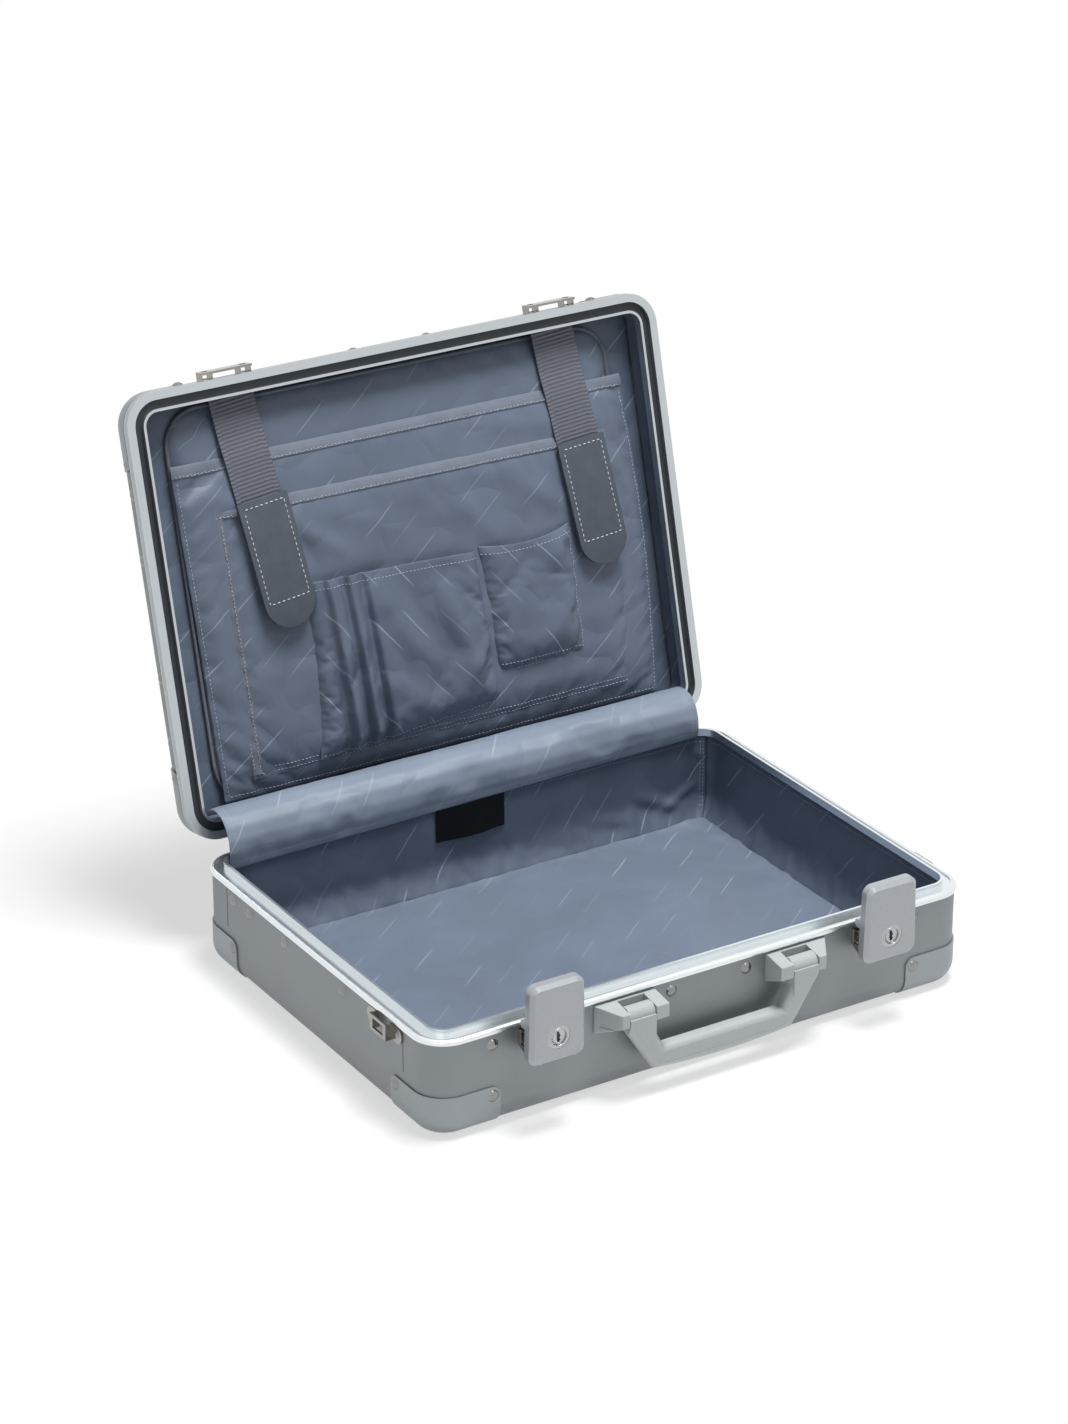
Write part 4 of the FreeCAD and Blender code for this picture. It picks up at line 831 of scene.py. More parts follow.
@dataclass
class BaseLining:
    """The padded floor and walls inside the base, and the label on the back wall."""

    finishes: Finishes
    half_x: float = 0.2157
    half_y: float = 0.1557
    corner: float = 0.0137
    middle_y: float = -0.046646
    top: float = 0.0749
    low: float = 0.0071
    floor: float = 0.0060
    tuck: float = 0.011
    thick: float = 0.0016
    swell: float = 0.0022
    step: float = 0.0035
    bulge: float = 0.0030
    creases: Sequence[Sequence[float]] = ((0.008, 0.030, 0.045, 0.012, 0.004, 0.0030),
                                          (0.02, 0.010, 0.06, 0.03, 0.005, 0.0030),
                                          (0.05, 0.008, 0.11, 0.022, 0.006, 0.0024),
                                          (0.10, 0.010, 0.17, 0.020, 0.008, 0.0016))

    def wall(self, name: str, start: float, width: float, seed: float) -> Cloth:
        """Build one padded wall from one corner's middle to the next.

        Args:
            name: The CAD node that it stands for.
            start: Where it starts along the outline.
            width: Its length along the outline.
            seed: Picks the wall's own wrinkles.

        Returns:
            The cloth.
        """
        high = self.top - self.low + self.tuck * 0.5

        def shape(u: Array, v: Array) -> Array:
            rise = v / high
            inward = self.tuck * np.clip(1 - v / (2.2 * self.tuck), 0, 1) ** 2.2
            ends = np.minimum(u, width - u)
            slack = ease(ends, 0.0, 0.03) * np.sin(np.pi * np.clip(rise, 0, 1)) ** 0.8
            inward = inward + self.swell * slack * (0.6 + 0.5 * value_noise(u, v * 0.6, 0.09, seed))
            inward += 0.0006 * value_noise(u, v * 0.5, 0.02, seed + 3) * ease(v, 0, 0.01)
            inward -= 0.0012 * np.exp(-ends / 0.012) * np.sin(np.pi * rise)
            inward += sum(ridge(u, v, *crease) for crease in self.creases)
            flat = rounded_outline((self.half_x, self.half_y), self.corner, start + u,
                                   np.clip(inward, -0.0002, 0.02))
            return np.column_stack([flat + (0, self.middle_y),
                                    self.low + (self.top - self.low) * rise])

        cloth = Cloth(name + "_cloth", width, high, self.step, shape)
        out = np.array([0, self.middle_y, self.top / 2]) - cloth.read().mean(axis=0)
        cloth.face(out)
        way = out * (1, 1, 0)
        cloth.settle(way / np.linalg.norm(way), 0.03, 0.0055, 0.0006, push=0.45, seed=int(seed))
        cloth.thicken(self.thick, 1)
        # The back and right walls, in shade under the flap and away from the lamps, get the darker copy of the
        # lining: painted shade.
        turned = name in ("base_lining_back", "base_lining_right")
        dress(cloth.piece, self.finishes["lining_turned_shaded" if turned else "lining_blue"],
              "base", [name])
        return cloth

    def floor_cloth(self) -> None:
        """Build the padded floor, a little fuller in its middle and turned up at its edge."""
        width, length = 2 * self.half_x - 0.001, 2 * self.half_y - 0.001

        def shape(u: Array, v: Array) -> Array:
            edge = np.minimum(np.minimum(u, width - u), np.minimum(v, length - v))
            z = self.floor + 0.0009 * value_noise(u, v, 0.11, 5.0) * ease(edge, 0.0, 0.04)
            z += 0.0060 * np.exp(-edge / 0.012)
            return np.stack([u - width / 2, v - length / 2 + self.middle_y, z], 1)

        cloth = Cloth("base_floor_cloth", width, length, self.step, shape)
        up = np.array([0, 0, 1.0])
        cloth.face(up)
        cloth.settle(up, 0.007, 0.0024, 0.0008, push=0.1, bend=1.5, seed=5)
        cloth.thicken(self.thick, 1)
        dress(cloth.piece, self.finishes["lining_blue"], "base", ["base_floor_pad"])

    def build(self) -> None:
        """Build the floor, the walls, their seams and the label."""
        stitches = Stitching("base_lining_stitches", 0.0004)
        self.floor_cloth()
        arc = math.pi / 2 * self.corner
        long_x, long_y = (2 * (half - self.corner) + arc for half in (self.half_x, self.half_y))
        start = long_x / 2
        for k, (side, width) in enumerate((("right", long_y), ("back", long_x),
                                           ("left", long_y), ("front", long_x))):
            wall = self.wall("base_lining_" + side, start, width, 11.0 + 7 * k)
            high = wall.length
            for off in (0.0022, 0.0044):
                stitches.seam(wall, [(off, high * 0.12), (off, high * 0.97)])
            stitches.seam(wall, [(0.003, high - 0.005), (width - 0.003, high - 0.005)])
            if side == "back":
                self.label()
            start += width
        stitches.make(self.finishes["thread_pale"], "lining_blue", "base")

    def label(self) -> None:
        """Build the plain woven label, sewn on at its two ends."""
        low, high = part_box("lining_label")
        width, tall = high.x - low.x, high.z - low.z

        def shape(u: Array, v: Array) -> Array:
            lift = self.bulge * np.sin(np.pi * u / width) ** 2 * (1 - v / tall) ** 0.7
            lift += 0.0004 * value_noise(u, v, 0.012, 2.0)
            return np.stack([low.x + u, low.y - 0.0014 - lift, low.z + v], 1)

        cloth = Cloth("lining_label_cloth", width, tall, 0.0015, shape)
        cloth.face(np.array([0, -1.0, 0]))
        cloth.thicken(0.0007)
        dress(cloth.piece, self.finishes["label"], "base", ["lining_label"])
        edge = 0.0014
        threads = Stitching("label_stitches", 0.0004)
        for off in (edge, 2.2 * edge):
            for x in (off, width - off):
                threads.seam(cloth, [(x, edge), (x, tall - edge)], pitch=0.0022)
        threads.make(self.finishes["label"], "label", "base")


# The lid


@dataclass(frozen=True)
class Pocket:
    """One sewn pocket of the organiser; a bound one is sewn all round.

    Corners are places across the lid and away from the hinge line. The pocket's
    back lies at a depth below the lid's mating plane, and its face swells outwards.
    Folds are in millimetres: both ends of each, its width and its height.
    """

    node: str
    top_left: Pair
    top_right: Pair
    low_left: Pair
    low_right: Pair
    back: float
    edge: float
    swell: float
    folds: Sequence[Sequence[float]]
    seed: int
    top_dip: float = 0.0
    right_bow: float = 0.0
    left_bow: float = 0.0
    steep: float = 0.09
    step: float = 0.0025
    mouth: float = 0.6
    bound: bool = True
    slack: float = 0.026
    most: float = 0.0048
    pleats: Sequence[Trio] = ()

    def shape(self, plane: Plane, u: Array, v: Array) -> Array:
        """Return the pocket's points for shares across and up of its outline."""
        low = np.outer(1 - u, self.low_left) + np.outer(u, self.low_right)
        top = np.outer(1 - u, self.top_left) + np.outer(u, self.top_right)
        x, s = (low * (1 - v)[:, None] + top * v[:, None]).T
        x = x + (self.right_bow * u ** 6 - self.left_bow * (1 - u) ** 6) * np.sin(np.pi * v)
        s = s - self.top_dip * np.sin(np.pi * u) * v ** 4
        sides = np.clip(np.minimum(u, 1 - u) / self.steep, 0, 1)
        full = np.sin(np.pi / 2 * sides) ** 0.7 * np.sin(np.pi / 2 * np.clip(v / 0.12, 0, 1))
        full *= self.mouth + (1 - self.mouth) * np.sin(np.pi * np.clip(v, 0, 1)) ** 0.6
        out = self.edge + self.swell * full
        for *fold, height in 0.001 * np.array(self.folds):
            out = out + full * ridge(x, s, *fold, 1.35 * height)
        out = out + 0.0005 * full * value_noise(x, s, 0.018, self.seed)
        out = out + 0.0011 * full * value_noise(x, s * 0.6, 0.05, self.seed + 4)
        for place, width, depth in self.pleats:
            begin = place + 0.006 * (1 - v)
            slope = np.clip((x - begin) / width, 0, 1)
            opened = depth * (0.45 + 0.55 * (1 - v) ** 1.4)
            out = out + (ease(x, begin - 0.0026, begin) * (1 - slope) ** 1.3 * opened
                         * ease(v, -0.05, 0.1))
            out = out - 0.35 * opened * np.exp(-((x - begin + 0.0045) / 0.0025) ** 2)
        return plane.place(x, s, -self.back + out)

    def build(self, plane: Plane, finishes: Finishes) -> Cloth:
        """Build the pocket's cloth."""
        width = math.dist(self.top_left, self.top_right)
        length = math.dist(self.top_left, self.low_left)
        cloth = Cloth(self.node + "_cloth", width, length, self.step,
                      lambda u, v: self.shape(plane, u / width, v / length))
        cloth.face(plane.out)
        cloth.settle(plane.out, self.slack, self.most, 0.0012, seed=self.seed,
                     sewn="lrbt" if self.bound else "lrb")
        cloth.thicken(0.0006, 1)
        # Bound pockets get a darker copy of the lining and the small ones a still darker one: painted shade.
        dress(cloth.piece, finishes["pocket_blue" if self.bound else "pocket_small_shaded"],
              "lid", [self.node])
        return cloth


POCKETS = (
    Pocket("rear_pocket", (-.1915, .2815), (.1975, .2795), (-.187, .0275), (.1965, .0275),
           .0182, .0006, .0036,
           [(-180, 262, -120, 232, 7, 1.2), (60, 262, 180, 250, 8, 1.0),
            (178, 250, 186, 60, 5, -1.6), (-178, 200, -172, 60, 5, 1.2),
            (150, 240, 190, 200, 8, 1.4), (-100, 35, 60, 33, 6, 1.2)], 21, right_bow=.006),
    Pocket("middle_pocket", (-.1665, .2465), (.1765, .2425), (-.1635, .040), (.1735, .040),
           .0131, .0004, .0032,
           [(-120, 235, -60, 190, 7, 1.5), (-90, 232, -20, 205, 8, 1.2),
            (30, 225, 60, 180, 8, 1.4), (-100, 215, -88, 185, 5, -1.0),
            (90, 215, 130, 190, 8, 1.3), (60, 60, 160, 52, 8, 1.0)], 31, right_bow=.003),
    Pocket("pleated_pocket", (-.1035, .1785), (.0450, .1725), (-.1085, .0425), (.0515, .0525),
           .0086, .0004, .0070,
           [(-50, 160, -10, 90, 9, 2.2), (0, 160, 30, 80, 8, 2.6), (-45, 90, -10, 60, 8, 1.2),
            (15, 70, 45, 110, 7, 2.2), (-98, 165, -100, 60, 4, 1.2)], 41, left_bow=-.002,
           steep=.06, step=0.0018, mouth=0.85, bound=False, slack=0.05, most=0.006,
           pleats=[(-.0865, .015, .0100), (-.0695, .014, .0100), (-.0545, .05, .0085)]),
    Pocket("flat_pocket", (.0455, .1755), (.1300, .1785), (.0500, .0735), (.1295, .0725),
           .0086, .0004, .0062,
           [(115, 172, 108, 140, 6, 2.4), (60, 100, 85, 150, 8, 1.4),
            (90, 85, 120, 120, 7, 1.2), (126, 165, 118, 150, 5, -1.2)], 51, top_dip=.006,
           step=0.0018, mouth=0.9, bound=False, slack=0.05, most=0.006),
)


@dataclass
class LidLining:
    """The lining of the lid's face and sides, and the organiser's padded back."""

    finishes: Finishes
    plane: Plane
    half_x: float = 0.2160
    near: float = 0.0179
    far: float = 0.3299
    corner: float = 0.014
    depth: float = 0.0240
    rim_depth: float = 0.0083
    cloth: float = 0.0012
    panel: Pair = (0.190, 0.147)
    panel_middle: float = 0.174
    panel_corner: float = 0.028
    panel_back: float = 0.0237
    panel_thick: float = 0.0046
    piping: float = 0.0016

    def face(self) -> None:
        """Build the lining over the lid's face."""
        width, length = 2 * self.half_x - 0.001, self.far - self.near - 0.001

        def shape(u: Array, v: Array) -> Array:
            edge = np.minimum(np.minimum(u, width - u), np.minimum(v, length - v))
            out = 0.0002 - 0.0018 * np.exp(-edge / 0.004)
            out += 0.0005 * value_noise(u, v, 0.03, 61.0)
            return self.plane.place(u - width / 2, self.near + 0.0005 + v, -self.depth + out)

        cloth = Cloth("lid_face_cloth", width, length, 0.005, shape)
        cloth.face(self.plane.out)
        cloth.thicken(self.cloth, 1)
        # The lid's face gets the darker copy of the lining: painted shade.
        dress(cloth.piece, self.finishes["lid_cloth_shaded"], "lid", ["lid_lining_panel"])

    def walls(self) -> None:
        """Build the four lining walls as one band round the lid's inside."""
        half_s = (self.far - self.near) / 2
        total = 4 * (self.half_x + half_s - 2 * self.corner) + 2 * math.pi * self.corner
        high = self.depth - self.rim_depth

        def shape(u: Array, v: Array) -> Array:
            rise = v / high
            inward = 0.0024 * np.clip(1 - rise * 1.6, 0, 1) ** 2
            inward += 0.0012 * np.sin(np.pi * rise) * (1 + value_noise(u, v, 0.035, 71.0))
            inward += 0.0007 * np.sin(np.pi * rise) * value_noise(u, v * 0.3, 0.011, 73.0)
            flat = rounded_outline((self.half_x, half_s), self.corner, u,
                                   np.clip(inward, 0, 0.006))
            return self.plane.place(flat + (0, self.near + half_s), -self.depth + v)

        piece = Cloth("lid_wall_cloth", total, high, 0.004, shape).piece
        edit(piece, (bpy.ops.mesh.remove_doubles, {"threshold": 0.00005}),
             (bpy.ops.mesh.normals_make_consistent, {"inside": True}))
        thicken(piece, self.cloth, 1)
        # The lid's walls get the darker copy of the lining: painted shade.
        dress(piece, self.finishes["lid_cloth_shaded"], "lid", ["lid_lining_walls"])

    def back(self) -> None:
        """Build the organiser's padded back panel."""
        half = np.array(self.panel)
        inner = half - self.panel_corner

        def shape(u: Array, v: Array) -> Array:
            flat = np.column_stack([u, v]) - half
            over = np.abs(flat) - inner
            both = (over > 0).all(axis=1)
            big = over.max(axis=1)
            pull = np.where(both, big / np.maximum(np.hypot(*over.T), 1e-9), 1.0)
            flat = np.where(both[:, None], np.sign(flat) * (inner + over * pull[:, None]), flat)
            edge = self.panel_corner - np.maximum(big, 0)
            out = self.panel_thick * (1 - np.exp(-edge / 0.006))
            out += 0.0007 * value_noise(u, v, 0.05, 81.0) * ease(edge, 0, 0.02)
            out += 0.0004 * value_noise(u, v * 2, 0.02, 83.0) * ease(edge, 0, 0.02)
            return self.plane.place(flat + (0, self.panel_middle), out + 0.0006 - self.panel_back)

        cloth = Cloth("organiser_back", *(2 * half), 0.004, shape)
        cloth.face(self.plane.out)
        cloth.settle(self.plane.out, 0.022, 0.0036, seed=81)
        cloth.thicken(self.cloth, 1)
        # The organiser's back gets the darker copy of the lining: painted shade.
        dress(cloth.piece, self.finishes["pocket_blue"], "lid", ["organiser_panel"])

    def pipe(self) -> None:
        """Build the piping round the organiser's back panel, a closed round tube."""
        straight = np.array(self.panel) - self.panel_corner
        total = 4 * straight.sum() + 2 * math.pi * self.panel_corner
        along = np.linspace(0, 1, 241)[:-1] * total - straight[0]
        flat = rounded_outline(self.panel, self.panel_corner, along, np.full(len(along), 0.0004))
        path = self.plane.place(flat + (0, self.panel_middle),
                                np.full(len(flat), 0.0022 - self.panel_back))
        curve = bpy.data.curves.new("organiser_piping", "CURVE")
        curve.dimensions = "3D"
        spline = curve.splines.new("POLY")
        spline.points.add(len(path) - 1)
        spline.points.foreach_set("co", np.column_stack([path, np.ones(len(path))]).ravel())
        spline.use_cyclic_u = True
        curve.bevel_depth, curve.bevel_resolution = self.piping, 3
        piece = bpy.data.objects.new("organiser_piping", curve)
        bpy.context.scene.collection.objects.link(piece)
        alone(piece)
        bpy.ops.object.convert(target="MESH")
        piece = bpy.context.active_object
        if not piece.data.uv_layers:
            piece.data.uv_layers.new(name="UVMap")
        smooth(piece)
        dress(piece, self.finishes["binding_grey"], "lid")

    def build(self) -> None:
        """Build all of the lid's lining."""
        self.face()
        self.walls()
        self.back()
        self.pipe()


@dataclass
class Organiser:
    """The pockets on the organiser's back, with their bindings and seams."""

    finishes: Finishes
    plane: Plane
    high: float = 0.0092
    wide: float = 0.0080

    def bind(self, name: str, cloth: Cloth, start: Array, edge: Array, thick: float) -> None:
        """Build one binding from a cloth's flat places to its edge."""
        dress(ribbon(name, cloth, start, edge, thick), self.finishes["binding_grey"],
              "lid")

    def build(self) -> None:
        """Build the pockets, bindings and stitching."""
        sewn = Stitching("organiser_stitches", 0.0006)
        rear, middle, pleated, flat = (pocket.build(self.plane, self.finishes)
                                       for pocket in POCKETS)
        for cloth in (rear, middle):
            u = np.linspace(0.0005, cloth.width - 0.0005, 160)
            top = np.full_like(u, cloth.length)
            self.bind(cloth.piece.name + "_binding", cloth, np.array([u, top - self.high]),
                      np.array([u, top]), 0.0011)
            row = cloth.length - 0.0078
            sewn.seam(cloth, [(0.002, row), (cloth.width - 0.002, row)], 0.0012,
                      pitch=0.003, share=0.75, zigzag=0.0006)
        v = np.linspace(0.004, middle.length - 0.002, 110)
        self.bind("middle_pocket_cloth_side_binding", middle,
                  np.array([np.full_like(v, self.wide), v]),
                  np.array([np.full_like(v, 0.0002), v]), 0.0010)
        for inset in (0.0016, 0.0064):
            sewn.seam(middle, [(inset, 0.008), (inset, middle.length - 0.012)], 0.0011,
                      pitch=0.003, share=0.7, zigzag=0.0004)
        inset = 0.0035
        for cloth in (rear, middle):
            w, h = cloth.width, cloth.length
            sewn.seam(cloth, [(inset, h - 0.012), (inset, inset), (w - inset, inset),
                              (w - inset, h - 0.012)])
        w, h = middle.width, middle.length
        sewn.seam(middle, [(0.0075, h - 0.012), (0.0075, 0.0075), (w - 0.006, 0.0075)])
        w, h = pleated.width, pleated.length
        for high in (h - 0.0065, 0.003):
            sewn.seam(pleated, [(0.002, high), (w - 0.002, high)])
        w, h = flat.width, flat.length
        sewn.seam(flat, [(0.002, h - 0.0065), (w - 0.002, h - 0.0065)])
        sewn.seam(flat, [(w - 0.0025, h - 0.004), (w - 0.0025, 0.003), (0.002, 0.003)])
        sewn.seam(flat, [(w - 0.0025, 0.0085), (0.002, 0.0085)])
        sewn.make(self.finishes["thread_pale"], "lining_blue", "lid")


@dataclass
class Strap:
    """One webbing strap over the pockets, with its leather tab.

    It runs from the middle of its top to the middle of its tab's end, both given
    across the lid and away from the hinge.
    """

    finishes: Finishes
    plane: Plane
    name: str
    top: Pair
    low: Pair
    stands_for: Sequence[str] = ()
    width: float = 0.037
    thick: float = 0.0013
    rib: float = 0.003
    rib_depth: float = 0.00028
    selvedge: float = 0.00336
    shown: float = 0.56
    tab_w: float = 0.042
    tab_len: float = 0.098
    tab_t: float = 0.0032
    shares: Sequence[float] = (0, .18, .28, .45, .55, 1.0)
    heights: Sequence[float] = (-.0120, -.0116, -.0090, -.0066, -.0052, .0015)

    def spot(self, across: Array, down: Array, out: Array) -> Array:
        """Return points at places across and down the strap and out of the lid's plane."""
        way = unit(np.array(self.low) - self.top)
        side = np.array([-way[1], way[0]])
        return self.plane.place(self.top + np.outer(down, way) + np.outer(across, side), out)

    def webbing(self, far: float) -> None:
        """Build the webbing of a strap of a length, with its ribs and its smooth edges."""

        def shape(u: Array, v: Array) -> Array:
            across = u - self.width / 2
            inner = self.width / 2 - np.abs(across)
            ribs = np.cos(2 * np.pi * v / self.rib) * ease(inner, self.selvedge,
                                                           self.selvedge / 0.8)
            edge = 0.4 * np.cos(2 * np.pi * (v + 2 * across) / 0.0016) * (inner < self.selvedge)
            out = np.interp(v / far, self.shares, self.heights) + self.rib_depth * (ribs + edge)
            return self.spot(across, v, out + 0.0006 * np.sin(np.pi * u / self.width))

        cloth = Cloth("strap_webbing_" + self.name, self.width, far * self.shown, 0.0005, shape)
        cloth.face(self.plane.out)
        cloth.thicken(self.thick)
        dress(cloth.piece, self.finishes["webbing"], "lid", self.stands_for[:1])

    def tab(self) -> Piece:
        """Model the tab flat: a long piece with a round end, its edges rounded."""
        radius = self.tab_w / 2
        bpy.ops.mesh.primitive_circle_add(vertices=64, radius=radius, fill_type="NGON")
        piece = bpy.context.active_object
        piece.name = "strap_tab_" + self.name
        for vertex in piece.data.vertices:
            if vertex.co.y > -1e-6:
                vertex.co.y = self.tab_len - radius
        edit(piece, (bpy.ops.mesh.remove_doubles, {"threshold": 0.0001}),
             (bpy.ops.mesh.extrude_region_move,
              {"TRANSFORM_OT_translate": {"value": (0, 0, self.tab_t)}}))
        modify(piece, "edges", "BEVEL", width=0.0007, segments=3, limit_method="ANGLE",
               angle_limit=math.radians(50))
        apply_all(piece)
        return piece

    def build(self) -> None:
        """Build the webbing, the tab in its place and the rectangle of stitches on it."""
        far = math.dist(self.top, self.low)
        self.webbing(far)
        piece = self.tab()
        begin = far - self.tab_len
        first = float(np.interp(begin / far, self.shares, self.heights)) + self.thick + 0.0004
        fall = (self.heights[-1] - first) / self.tab_len
        across, up, out = get(piece.data.vertices, "co").T
        down = self.tab_len - self.tab_w / 2 - up
        put(piece.data, self.spot(across, begin + down, first + fall * down + out))
        edit(piece, (bpy.ops.mesh.normals_make_consistent, {"inside": False}))
        smooth(piece, 35)
        dress(piece, self.finishes["tab_leather"], "lid", self.stands_for[1:])
        high, end = 0.0042, self.tab_len - 0.021
        x = self.tab_w / 2 - high
        corners = np.array([(-x, high), (x, high), (x, end), (-x, end), (-x, high)])
        marks = reach(corners)
        across, down = follow(corners, marks, np.linspace(0, marks[-1], 240)).T
        path = self.spot(across, begin + down, first + fall * down + self.tab_t)
        sewn = Stitching("strap_tab_stitches_" + self.name, 0.0009)
        sewn.row(path, np.tile(self.plane.out, (len(path), 1)), 0.0042, 0.62)
        sewn.make(self.finishes["thread_white"], "tab_leather", "lid")


@dataclass
class HingeFlap:
    """The cloth that hangs from the lid over the hinge into the base."""

    finishes: Finishes
    left: float = -0.2085
    right: float = 0.2045
    narrowing: float = 0.10
    thick: float = 0.0009
    hem: float = 0.006
    route: Sequence[Pair] = ((.14075, .1035), (.13375, .1085), (.12475, .1100), (.11575, .1075),
                             (.10925, .1010), (.10555, .0920), (.10475, .0830), (.10625, .0750),
                             (.10725, .0685))

    def build(self) -> None:
        """Build the flap as one cloth that bends between the base and the lid."""
        route = np.array(self.route)
        marks = reach(route)
        width, length = self.right - self.left, float(marks[-1])

        def shape(u: Array, v: Array) -> Array:
            down = v * (1 - self.narrowing * u / width * ease(v, 0.03, length))
            y, z = follow(route, marks, down).T
            swell = 0.0016 * value_noise(u, v * 1.5, 0.09, 91.0) * ease(v, 0.0, 0.02)
            swell += 0.0006 * value_noise(u, v * 0.5, 0.025, 93.0) * ease(v, 0.0, 0.02)
            return np.stack([self.left + u, y - np.maximum(swell, -0.001), z + 0.3 * swell], 1)

        cloth = Cloth("hinge_flap_cloth", width, length, 0.003, shape)
        cloth.face(np.array([0, -1.0, 0.3]))
        cloth.settle(Vector((0, -0.93, 0.37)), 0.004, 0.0010, push=0.15, bend=6.0, frames=12,
                     seed=91)
        cloth.thicken(self.thick, 1)
        # The flap gets the lighter copy of the lining: painted light.
        dress(cloth.piece, self.finishes["flap_blue_lit"], "",
              ["hinge_flap", "hinge_flap_hem"])
        sewn = Stitching("hinge_flap_stitches", 0.0004)
        sides, low = (self.hem, width - self.hem), length - self.hem
        for x in sides:
            sewn.seam(cloth, [(x, 0.01), (x, length - 0.002)])
        sewn.seam(cloth, [(x, low) for x in sides])
        threads = sewn.make(self.finishes["thread_pale"], "lining_blue", "")
        for piece in (cloth.piece, threads):
            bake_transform(piece)


# The rigid pieces


def dress_solids(finishes: Finishes) -> None:
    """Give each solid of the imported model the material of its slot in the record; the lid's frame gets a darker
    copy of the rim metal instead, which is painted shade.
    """
    for row in frame["record"]["subparts"]:
        node = frame["nodes"][row["node"]]
        # The lid's frame gets the darker copy of the rim metal: painted shade.
        name = "lid_rim" if row["node"] == "lid_rim_frame" else row["material_slot"]
        if not node.material_slots:
            node.data.materials.append(finishes[name])
        for place in node.material_slots:
            place.material = finishes[name]


@dataclass
class LockFace:
    """The face of one key lock: a turned rim, a key slot and short marks round it. The key slot is a thin dark
    block on the face: painted shade for the depth of the keyway.
    """

    finishes: Finishes
    side: str
    rim: float = 0.0066
    wire: float = 0.00055
    slot_w: float = 0.0011
    slot_h: float = 0.0066
    mark_r: float = 0.0052
    mark_w: float = 0.00035
    mark_l: float = 0.0011
    marks: int = 9

    def stand(self, piece: Piece, name: str, finish: str) -> None:
        """Turn a piece made flat on its back to face the front at the lock, and dress it."""
        low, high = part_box("lock_cylinder_" + self.side)
        centre = Vector(((low.x + high.x) / 2, low.y, (low.z + high.z) / 2))
        piece.name = name
        piece.data.transform(Matrix.Translation(centre) @ Matrix.Rotation(math.pi / 2, 4, "X"))
        smooth(piece, 40)
        dress(piece, self.finishes[finish], "lock_" + self.side)

    def build(self) -> None:
        """Build the rim, the dark block of painted shade for the key slot, and the marks."""
        bpy.ops.mesh.primitive_torus_add(major_radius=self.rim, minor_radius=self.wire,
                                         major_segments=64, minor_segments=12)
        self.stand(bpy.context.active_object, "lock_rim_" + self.side, "lock_steel")
        # The key slot and the notches of its wards are thin dark blocks: painted shade for the keyway's depth.
        blocks = [(0.0, 0.0, self.slot_w, self.slot_h, 0.0)]
        blocks += [(0.0005, z, self.slot_w * 1.3, self.slot_w * 0.7, 0.0) for z in (-.0017, .0014)]
        for k in range(self.marks):
            turn = math.radians(110 + 140 * k / (self.marks - 1))
            blocks.append((self.mark_r * math.cos(turn), self.mark_r * math.sin(turn),
                           self.mark_l, self.mark_w, turn))
        bpy.ops.mesh.primitive_cube_add(size=1)
        cube = bpy.context.active_object
        corners = get(cube.data.vertices, "co")
        quads = [list(p.vertices) for p in cube.data.polygons]
        bpy.data.objects.remove(cube)
        points, faces = [], []
        for x, z, w, h, turn in blocks:
            c, d = math.cos(turn), math.sin(turn)
            faces += [[i + len(points) for i in quad] for quad in quads]
            points += [(x + a * c - b * d, z + a * d + b * c, e)
                       for a, b, e in corners * (w, h, 0.0003)]
        name = "lock_slot_shade_and_marks_" + self.side
        self.stand(new_piece(name, points, faces), name, "keyway_shade_and_marks")


# The studio


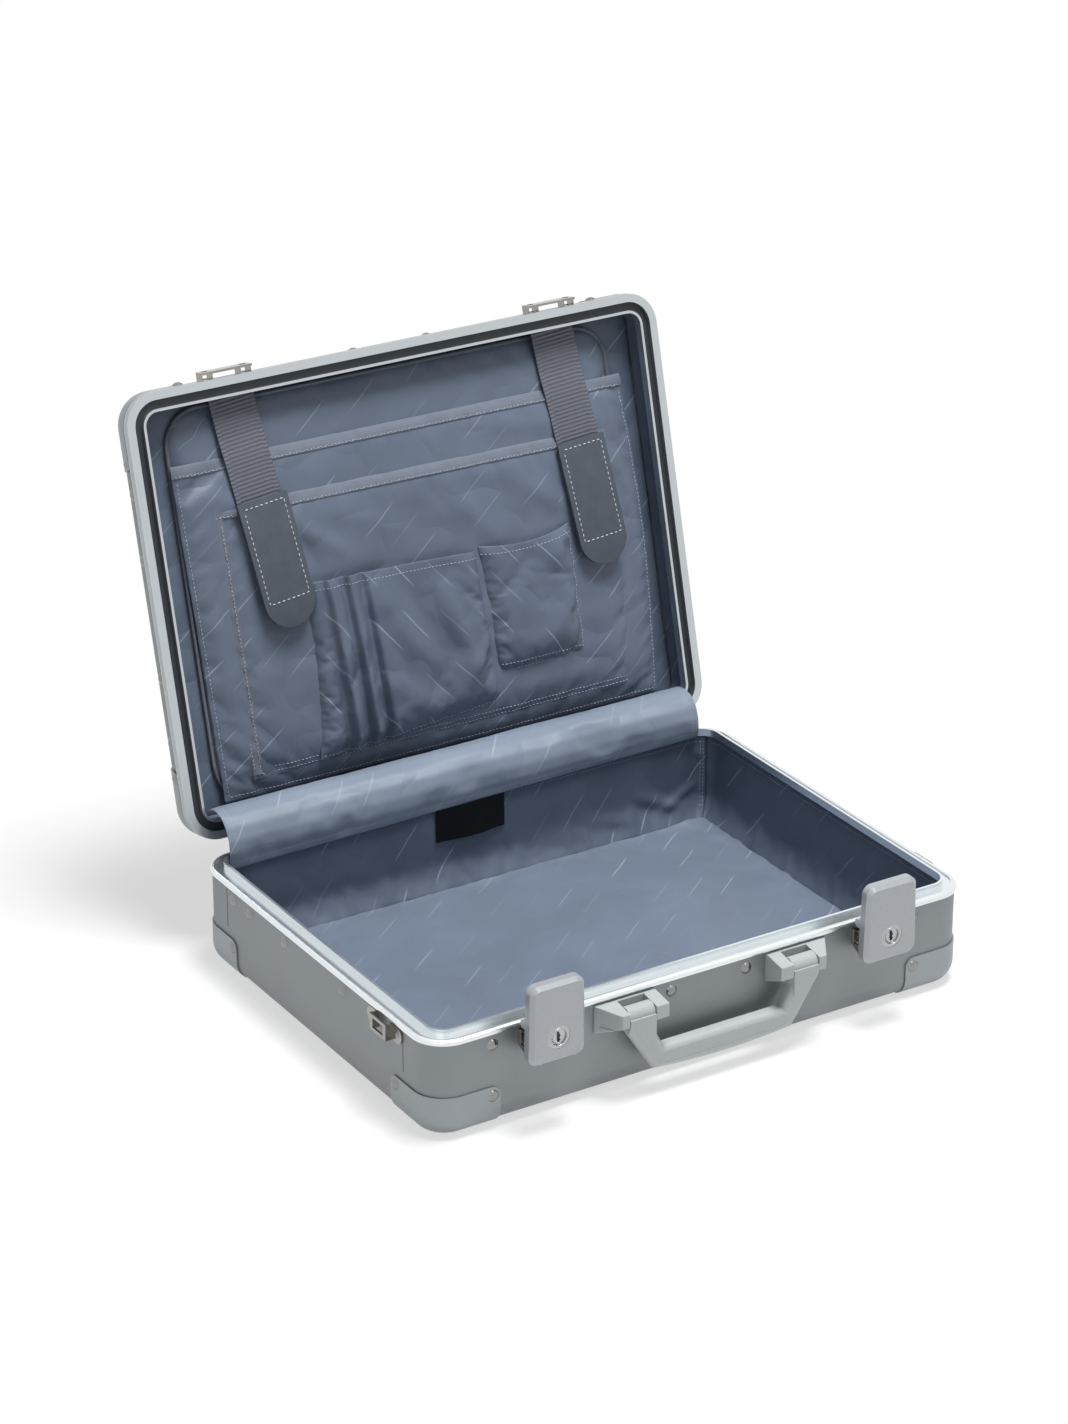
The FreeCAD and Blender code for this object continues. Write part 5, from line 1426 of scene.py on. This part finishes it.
@dataclass
class Studio:
    """The floor, the lamps and the camera."""

    eye: Sequence[float] = (-1.4754, -2.35035, 1.4643)
    target: Sequence[float] = (0.11416, 0.20251, 0.0812)
    lens: float = 106.44
    near: float = 0.30
    far: float = 0.75
    glow: float = 0.6
    all_round: float = 0.15
    lamps: Sequence[tuple] = (("key", (0.5, -1.9, 2.3), 0.9, 6),
                              ("fill", (-2.0, -1.8, 1.4), 1.6, 3),
                              ("top", (0.25, -0.34, 2.6), 0.9, 80))

    @staticmethod
    def aim(data: bpy.types.ID, place: Sequence[float], target: Sequence[float]) -> Piece:
        """Put a camera or lamp in place, turned to a target."""
        thing = bpy.data.objects.new(data.name, data)
        thing.location = place
        way = Vector(target) - Vector(place)
        thing.rotation_euler = way.to_track_quat("-Z", "Y").to_euler()
        bpy.context.scene.collection.objects.link(thing)
        return thing

    def world(self) -> None:
        """Make the even light from all round, on a white background."""
        world = bpy.data.worlds.new("studio")
        bpy.context.scene.world = world
        world.use_nodes = True
        n = Nodes(world.node_tree)
        light = n.tree.nodes["Background"]
        n.feed(light.inputs["Color"], WHITE)
        n.feed(light.inputs["Strength"], self.all_round)
        white = n.add("Background", {"Color": WHITE, "Strength": 1.0})
        mix = n.add("MixShader", {0: n.seen(), 1: light.outputs[0], 2: white.outputs[0]})
        n.feed(n.tree.nodes["World Output"].inputs["Surface"], mix.outputs[0])

    def floor(self) -> None:
        """Make the plain pale floor, which runs out into the white background."""
        bpy.ops.mesh.primitive_plane_add(size=14)
        floor = bpy.context.active_object
        floor.name = "studio_floor"
        n = Surface("floor_white")
        n.set(Base_Color=(0.93, 0.93, 0.93, 1), Roughness=0.9, Specular_IOR_Level=0.1)
        white = n.add("Emission", {"Strength": 1.0})
        away = n.add("VectorMath", {0: n.place()}, operation="LENGTH")
        spread = n.add("MapRange", {"From Min": self.near, "From Max": self.far,
                                    "To Min": self.glow, "Value": away.outputs["Value"]},
                       interpolation_type="SMOOTHSTEP")
        share = n.math("MULTIPLY", spread.outputs[0], n.seen())
        mix = n.add("MixShader", {0: share, 1: n.shader.outputs[0], 2: white.outputs[0]})
        n.feed(n.tree.nodes["Material Output"].inputs["Surface"], mix.outputs[0])
        floor.data.materials.append(n.material)

    def build(self) -> None:
        """Make the whole studio."""
        scene = bpy.context.scene
        scene.view_settings.view_transform = "Standard"
        camera = bpy.data.cameras.new("camera")
        camera.lens, camera.sensor_width, camera.clip_end = self.lens, 36.0, 50
        scene.camera = self.aim(camera, self.eye, self.target)
        self.world()
        self.floor()
        for name, place, size, power in self.lamps:
            lamp = bpy.data.lights.new(name, "AREA")
            lamp.size, lamp.energy = size, power
            self.aim(lamp, place, (0, 0, 0.15))


def main() -> None:
    """Build the case's pieces in order."""
    logging.basicConfig(level=logging.INFO, format="%(name)s: %(message)s")
    Studio().build()
    finishes, plane = make_finishes(), lid_plane()
    dress_solids(finishes)
    BaseLining(finishes).build()
    LidLining(finishes, plane).build()
    Organiser(finishes, plane).build()
    Strap(finishes, plane, "left", (-.1365, .3275), (-.1180, .150),
          ("lid_straps", "strap_tabs")).build()
    Strap(finishes, plane, "right", (.1400, .3275), (.1545, .141)).build()
    HingeFlap(finishes).build()
    for side in ("left", "right"):
        LockFace(finishes, side).build()


if __name__ == "__main__":
    main()
